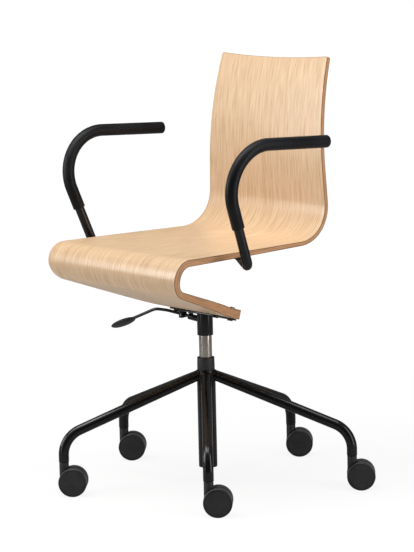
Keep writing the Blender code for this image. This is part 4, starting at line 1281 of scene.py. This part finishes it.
def make_casters(settings):
    """Places a body and two wheels under each leg."""
    body, wheel = caster_body_mesh(), wheel_mesh(settings)
    inner = WEB_HALF_WIDTH + GAP
    for number, angle in enumerate(LEG_ANGLES, start=1):
        caster = caster_matrix(angle)
        mesh = coated(body.copy(), "nylon_black")
        name = f"caster_{number}"
        add_piece(name + "_fork", mesh, name, [name + "_body"], caster)
        for label, side in (("left", 1.0), ("right", -1.0)):
            place = Matrix.Translation((CASTER_TRAIL, side * inner, HUB_HEIGHT))
            matrix = caster @ place @ turn_about("X", -90.0 * side)
            add_piece(
                f"{name}_tyre_{label}",
                wheel.copy(),
                f"{name}_{label}",
                [f"{name}_wheel_{label}"],
                matrix,
            )
        recoat("zinc_steel", name + "_stem", name + "_axle")


# Lever


def lever_points():
    """Returns the lever rod's centre line and the paddle's direction."""
    corners = [lever_point(LEVER_START, lever_height(0.0))]
    corners += [lever_point(reach, height) for reach, height in LEVER_CORNERS]
    last = (corners[3] - corners[2]).normalized()
    corners[3] = corners[3] + last * LEVER_TONGUE
    points = [corners[0]]
    for before, corner, after in zip(corners, corners[1:], corners[2:]):
        back = (before - corner).normalized() * LEVER_BEND
        ahead = (after - corner).normalized() * LEVER_BEND
        for i in range(9):
            t = i / 8.0
            points.append(corner + back * (1.0 - t) ** 2 + ahead * t**2)
    points.append(corners[3])
    return points, last


def make_lever(settings):
    """Makes the lever's rod and its flat oval paddle. A collar where the rod goes in is joined on, but the
    joined mesh is not kept.
    """
    points, run = lever_points()
    path, widths = round_ends(points, settings.rod_radius, 0.0006, 0.0006)
    mesh = swept_mesh("lever_bar", [(path, widths, False)], settings.rod_radius, "gloss_black_paint", 24)
    add_piece("lever_bar", mesh, "lever", ["lever_rod"])
    middle = points[-1] + run * (settings.paddle_length / 2.0 - PADDLE_OVERLAP)
    shape = bmesh.new()
    bmesh.ops.create_uvsphere(shape, u_segments=64, v_segments=32, radius=0.5)
    for vertex in shape.verts:
        x, y, z = vertex.co * 2.0
        swell = 1.0 + 0.12 * (1.0 - z**2)
        squared = 1.0 + 0.05 * (abs(x) * abs(y))
        thumb = 1.0 - 0.10 * math.exp(-((x - 0.1) ** 2 + y**2) / 0.18) * (1.0 if z > 0.0 else 0.0)
        vertex.co.x = x / 2.0 * settings.paddle_length * squared
        vertex.co.y = y / 2.0 * settings.paddle_width * squared
        vertex.co.z = z / 2.0 * settings.paddle_thickness * swell * thumb
    along = run.to_track_quat("X", "Z").to_matrix().to_4x4()
    turn = along @ Matrix.Rotation(settings.paddle_roll, 4, "X")
    shape.transform(at_axis(Matrix.Translation(middle) @ turn))
    mesh = bpy.data.meshes.new("paddle")
    shape.to_mesh(mesh)
    shape.free()
    start, end = (-0.5 * settings.paddle_length + part for part in PADDLE_ROOT_ENDS)
    root = cylinder(PADDLE_ROOT_RADIUS, start, end)
    lying = Matrix.Rotation(math.radians(90.0), 4, "Y")
    root.transform(at_axis(Matrix.Translation(middle) @ turn @ lying))
    carve(mesh, root, "UNION")
    coated(mesh, "pebbled_black")
    add_piece("lever_grip", mesh, "lever", ["lever_paddle"], angle=60.0)


# Armrests


def arm_points(side):
    """Returns an arm tube's centre line and the part of it that the sleeve covers."""
    rise, toe, splay = math.radians(ARM_RISE), math.radians(ARM_TOE), math.radians(ARM_SPLAY)
    yaw = math.radians(ARM_FOOT_YAW)
    outward = side * math.sin(toe) * math.cos(rise)
    forward = (outward, -math.cos(toe) * math.cos(rise), math.sin(rise))
    down = (-side * math.sin(splay), 0.0, -math.cos(splay))
    inward = (-side * math.cos(yaw), math.sin(yaw), 0.0)
    turn = 90.0 + ARM_RISE + ARM_LEG_LEAN
    start = (side * ARM_HALF_SPACING, *ARM_END)
    top = [ARM_TOP, (ARM_BEND_RADIUS, turn, down)]
    whole = route(start, forward, top + [ARM_LEG, (*ARM_FOOT_BEND, inward)])
    covered = route(start, forward, top + [SLEEVE_LEG])
    return whole, covered


def make_arm(label, side, settings):
    """Makes one armrest: tube, sleeve with rounded ends, and the plug in its rear end."""
    whole, covered = arm_points(side)
    path, widths = round_ends(whole, settings.arm_radius, 0.0005, 0.0015)
    mesh = swept_mesh(f"arm_{label}_bar", [(path, widths, False)], settings.arm_radius, "gloss_black_paint")
    add_piece(f"arm_{label}_bar", mesh, "seat", [f"arm_tube_{label}"])
    path, widths = round_ends(covered, settings.sleeve_radius, 0.0026, 0.0012)
    path.insert(1, path[0].copy())
    grip = [(path, [widths[0]] + widths, False)]
    mesh = swept_mesh(f"arm_{label}_grip", grip, settings.sleeve_radius, "soft_black_grip")
    add_piece(f"arm_{label}_grip", mesh, "seat", [f"arm_sleeve_{label}"])
    outline = [(0.0, 0.0030)]
    for i in range(1, 7):
        angle = math.pi / 2.0 * i / 6.0
        outline.append((0.0066 + 0.0020 * math.sin(angle), 0.0004 + 0.0026 * math.cos(angle)))
    outline += [(0.0086, GAP), (0.0075, GAP), (0.0075, -0.012), (0.0, -0.012)]
    mesh = coated(turned_mesh("plug", outline, 40), "nylon_black")
    place = Matrix.Translation((side * ARM_HALF_SPACING, *ARM_END))
    turn = turn_about("Z", side * ARM_TOE) @ turn_about("X", -90.0 - ARM_RISE)
    matrix = at_axis(place @ turn)
    add_piece(f"arm_{label}_plug", mesh, "seat", [f"arm_cap_{label}"], matrix)
    refined(f"arm_foot_{label}", "seat", "gloss_black_paint", 0.0006)
    recoat("zinc_steel", f"arm_screw_{label}_1", f"arm_screw_{label}_2")


# Stage


def camera_matrix(settings):
    """Returns the camera's place: beside the chair, looking a little down."""
    azimuth, pitch, roll = math.radians(52.96), math.radians(7.84), math.radians(-1.29)
    away = settings.camera_azimuth
    location = Vector(
        (
            math.sin(away) * settings.camera_distance,
            -math.cos(away) * settings.camera_distance,
            settings.camera_height,
        )
    )
    forward = Vector(
        (
            -math.sin(azimuth) * math.cos(pitch),
            math.cos(azimuth) * math.cos(pitch),
            -math.sin(pitch),
        )
    )
    right = Vector((math.cos(azimuth), math.sin(azimuth), 0.0))
    up = right.cross(forward)
    turned_right = right * math.cos(roll) + up * math.sin(roll)
    turned_up = up * math.cos(roll) - right * math.sin(roll)
    matrix = Matrix.Identity(4)
    for column, axis in enumerate((turned_right, turned_up, -forward, location + origin)):
        for row in range(3):
            matrix[row][column] = axis[row]
    return matrix


def add_light(name, power, size, azimuth, elevation, distance, height):
    """Adds a soft box that looks at a height on the chair's middle line."""
    lamp = bpy.data.lights.new(name, "AREA")
    lamp.shape = "RECTANGLE"
    lamp.size, lamp.size_y = size
    lamp.energy = power
    obj = new_object(name, lamp)
    turn, lift = math.radians(azimuth), math.radians(elevation)
    back = Vector((math.sin(turn) * math.cos(lift), -math.cos(turn) * math.cos(lift), math.sin(lift)))
    obj.location = Vector((0.0, 0.0, height)) + back * distance
    obj.rotation_euler = (-back).to_track_quat("-Z", "Y").to_euler()
    return obj


def add_floor(settings):
    """Adds the floor, which keeps a soft shadow near the chair and turns white further off."""
    mesh = bpy.data.meshes.new("floor")
    shape = bmesh.new()
    bmesh.ops.create_circle(shape, cap_ends=True, segments=96, radius=FLOOR_RADIUS)
    shape.to_mesh(mesh)
    shape.free()
    material = bpy.data.materials.new("floor_paper")
    material.use_nodes = True
    tree = material.node_tree
    nodes, links = tree.nodes, tree.links
    nodes.clear()
    place = nodes.new("ShaderNodeTexCoord")
    fibre = nodes.new("ShaderNodeTexNoise")
    fibre.inputs["Scale"].default_value = 160.0
    tint = nodes.new("ShaderNodeMapRange")
    tint.inputs[3].default_value = 0.985
    tint.inputs[4].default_value = 1.0
    paper = nodes.new("ShaderNodeVectorMath")
    paper.operation = "SCALE"
    paper.inputs[0].default_value = settings.floor_colour
    matte = nodes.new("ShaderNodeBsdfDiffuse")
    glow = nodes.new("ShaderNodeEmission")
    reach = nodes.new("ShaderNodeVectorMath")
    reach.operation = "LENGTH"
    fade = nodes.new("ShaderNodeMapRange")
    for socket, value in enumerate(FLOOR_FADE_REACH + FLOOR_FADE_SHARE, start=1):
        fade.inputs[socket].default_value = value
    glow.inputs["Strength"].default_value = FLOOR_GLOW
    rays = nodes.new("ShaderNodeLightPath")
    seen = nodes.new("ShaderNodeMath")
    seen.operation = "MAXIMUM"
    mirrored = nodes.new("ShaderNodeMath")
    mirrored.operation = "MULTIPLY"
    mirrored.inputs[1].default_value = FLOOR_GLOW_MIRRORED
    share = nodes.new("ShaderNodeMath")
    share.operation = "MULTIPLY"
    dimmed = nodes.new("ShaderNodeMapRange")
    dimmed.inputs[3].default_value = 1.0
    dimmed.inputs[4].default_value = FLOOR_PAPER_MIRRORED
    level = nodes.new("ShaderNodeMath")
    level.operation = "MULTIPLY"
    mixed = nodes.new("ShaderNodeMixShader")
    out = nodes.new("ShaderNodeOutputMaterial")
    links.new(place.outputs["Object"], fibre.inputs["Vector"])
    links.new(fibre.outputs[0], tint.inputs[0])
    links.new(rays.outputs["Is Glossy Ray"], dimmed.inputs[0])
    links.new(tint.outputs[0], level.inputs[0])
    links.new(dimmed.outputs[0], level.inputs[1])
    links.new(level.outputs[0], paper.inputs["Scale"])
    links.new(paper.outputs[0], matte.inputs["Color"])
    links.new(place.outputs["Object"], reach.inputs[0])
    links.new(reach.outputs["Value"], fade.inputs[0])
    links.new(rays.outputs["Is Camera Ray"], seen.inputs[0])
    links.new(rays.outputs["Is Glossy Ray"], mirrored.inputs[0])
    links.new(mirrored.outputs[0], seen.inputs[1])
    links.new(seen.outputs[0], share.inputs[0])
    links.new(fade.outputs[0], share.inputs[1])
    links.new(share.outputs[0], mixed.inputs[0])
    links.new(matte.outputs[0], mixed.inputs[1])
    links.new(glow.outputs[0], mixed.inputs[2])
    links.new(mixed.outputs[0], out.inputs["Surface"])
    mesh.materials.append(material)
    floor = new_object("studio_floor", mesh)


def add_world(settings):
    """Adds soft light from all round, which the camera sees as plain white."""
    world = bpy.data.worlds.new("studio")
    bpy.context.scene.world = world
    world.use_nodes = True
    nodes, links = world.node_tree.nodes, world.node_tree.links
    background = nodes["Background"]
    background.inputs["Color"].default_value = (1.0, 1.0, 1.0, 1.0)
    rays = nodes.new("ShaderNodeLightPath")
    mirrored = nodes.new("ShaderNodeMapRange")
    mirrored.inputs[3].default_value = settings.fill
    mirrored.inputs[4].default_value = settings.mirrored
    strength = nodes.new("ShaderNodeMix")
    strength.inputs["B"].default_value = 1.0
    links.new(rays.outputs["Is Glossy Ray"], mirrored.inputs[0])
    links.new(rays.outputs["Is Camera Ray"], strength.inputs["Factor"])
    links.new(mirrored.outputs[0], strength.inputs["A"])
    links.new(strength.outputs["Result"], background.inputs["Strength"])


def add_flag(name, azimuth, width, height, distance):
    """Adds a dark card that only reflections see, as a studio uses to keep gloss black."""
    mesh = bpy.data.meshes.new(name)
    half = math.radians(width / 2.0)
    steps = 24
    points, faces = [], []
    for i in range(steps + 1):
        angle = math.radians(azimuth) - half + 2.0 * half * i / steps
        x, y = math.sin(angle) * distance, -math.cos(angle) * distance
        points += [(x, y, CARD_BOTTOM), (x, y, height)]
    for i in range(steps):
        faces.append((2 * i, 2 * i + 2, 2 * i + 3, 2 * i + 1))
    mesh.from_pydata(points, [], faces)
    card = Finish("dark_card", 0.9, specular=0.0)
    card.shader.inputs["Base Color"].default_value = (0.02, 0.02, 0.02, 1.0)
    mesh.materials.append(card.material)
    flag = new_object(name, mesh)
    flag.visible_camera = False
    flag.visible_diffuse = False
    flag.visible_transmission = False
    flag.visible_shadow = False


def make_stage(settings):
    """Sets up the camera, the floor, the lights and the background."""
    scene = bpy.context.scene
    scene.view_settings.view_transform = "Standard"
    data = bpy.data.cameras.new("camera")
    data.sensor_width = 36.0
    data.lens = settings.lens
    data.clip_start, data.clip_end = 0.1, 100.0
    camera = new_object("camera", data)
    camera.matrix_world = camera_matrix(settings)
    scene.camera = camera
    add_floor(settings)
    add_world(settings)
    for name, (power, *place) in LAMPS.items():
        lamp = add_light(name, getattr(settings, power), *place)
        lamp.visible_diffuse = name != "glare_box"
    add_flag("dark_card", *CARD_PLACE)


# Operators


class CHAIR_OT_stage(Operator):
    """Adds the floor, the lights and the camera"""

    bl_idname = "chair.stage"
    bl_label = "Stage"

    def execute(self, context):
        make_stage(context.scene.chair_stage)
        return {"FINISHED"}


class CHAIR_OT_shell(Operator):
    """Adds the bent plywood shell"""

    bl_idname = "chair.shell"
    bl_label = "Shell"

    def execute(self, context):
        make_shell(context.scene.chair_shell)
        return {"FINISHED"}


class CHAIR_OT_mount(Operator):
    """Adds the plate, its bolts, the socket and the lever's bracket"""

    bl_idname = "chair.mount"
    bl_label = "Mounting"

    def execute(self, context):
        refined("mounting_plate", "seat", "gloss_black_paint", 0.0005)
        refined("lever_bracket", "seat", "gloss_black_paint", 0.0004)
        recoat("zinc_steel", "lever_pin")
        make_bolts()
        make_socket(context.scene.chair_column)
        return {"FINISHED"}


class CHAIR_OT_column(Operator):
    """Adds the column with its collar and the gas lift"""

    bl_idname = "chair.column"
    bl_label = "Column and lift"

    def execute(self, context):
        make_column(context.scene.chair_column)
        make_lift(context.scene.chair_column)
        return {"FINISHED"}


class CHAIR_OT_legs(Operator):
    """Adds the five legs and their welds"""

    bl_idname = "chair.legs"
    bl_label = "Legs"

    def execute(self, context):
        make_legs(context.scene.chair_tubes, context.scene.chair_column)
        return {"FINISHED"}


class CHAIR_OT_casters(Operator):
    """Adds the five casters"""

    bl_idname = "chair.casters"
    bl_label = "Casters"

    def execute(self, context):
        make_casters(context.scene.chair_casters)
        return {"FINISHED"}


class CHAIR_OT_lever(Operator):
    """Adds the height lever"""

    bl_idname = "chair.lever"
    bl_label = "Lever"

    def execute(self, context):
        make_lever(context.scene.chair_lever)
        return {"FINISHED"}


class CHAIR_OT_arms(Operator):
    """Adds the two armrests"""

    bl_idname = "chair.arms"
    bl_label = "Armrests"

    def execute(self, context):
        make_arm("left", 1.0, context.scene.chair_tubes)
        make_arm("right", -1.0, context.scene.chair_tubes)
        return {"FINISHED"}


class CHAIR_PT_sidebar(Panel):
    """Lists the pieces of the chair and their settings"""

    bl_idname = "CHAIR_PT_sidebar"
    bl_label = "Office chair"
    bl_space_type = "VIEW_3D"
    bl_region_type = "UI"
    bl_category = "Office chair"

    def draw(self, context):
        for operator in operators:
            self.layout.operator(operator.bl_idname)
        for name in settings_groups:
            box = self.layout.box()
            group = getattr(context.scene, name)
            box.label(text=group.bl_rna.description)
            for key in group.__annotations__:
                box.prop(group, key)


settings_groups = {
    "chair_shell": ShellSettings,
    "chair_tubes": TubeSettings,
    "chair_column": ColumnSettings,
    "chair_casters": CasterSettings,
    "chair_lever": LeverSettings,
    "chair_stage": StageSettings,
}
operators = (
    CHAIR_OT_stage,
    CHAIR_OT_shell,
    CHAIR_OT_mount,
    CHAIR_OT_column,
    CHAIR_OT_legs,
    CHAIR_OT_casters,
    CHAIR_OT_lever,
    CHAIR_OT_arms,
)


def register():
    """Registers the settings, the operators and the panel."""
    for name, group in settings_groups.items():
        bpy.utils.register_class(group)
        setattr(bpy.types.Scene, name, PointerProperty(type=group))
    for operator in operators:
        bpy.utils.register_class(operator)
    bpy.utils.register_class(CHAIR_PT_sidebar)


def unregister():
    """Removes what register added."""
    bpy.utils.unregister_class(CHAIR_PT_sidebar)
    for operator in reversed(operators):
        bpy.utils.unregister_class(operator)
    for name, group in settings_groups.items():
        delattr(bpy.types.Scene, name)
        bpy.utils.unregister_class(group)


def main():
    """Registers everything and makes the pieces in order."""
    register()
    for operator in operators:
        group, name = operator.bl_idname.split(".")
        getattr(getattr(bpy.ops, group), name)()


if __name__ == "__main__":
    main()
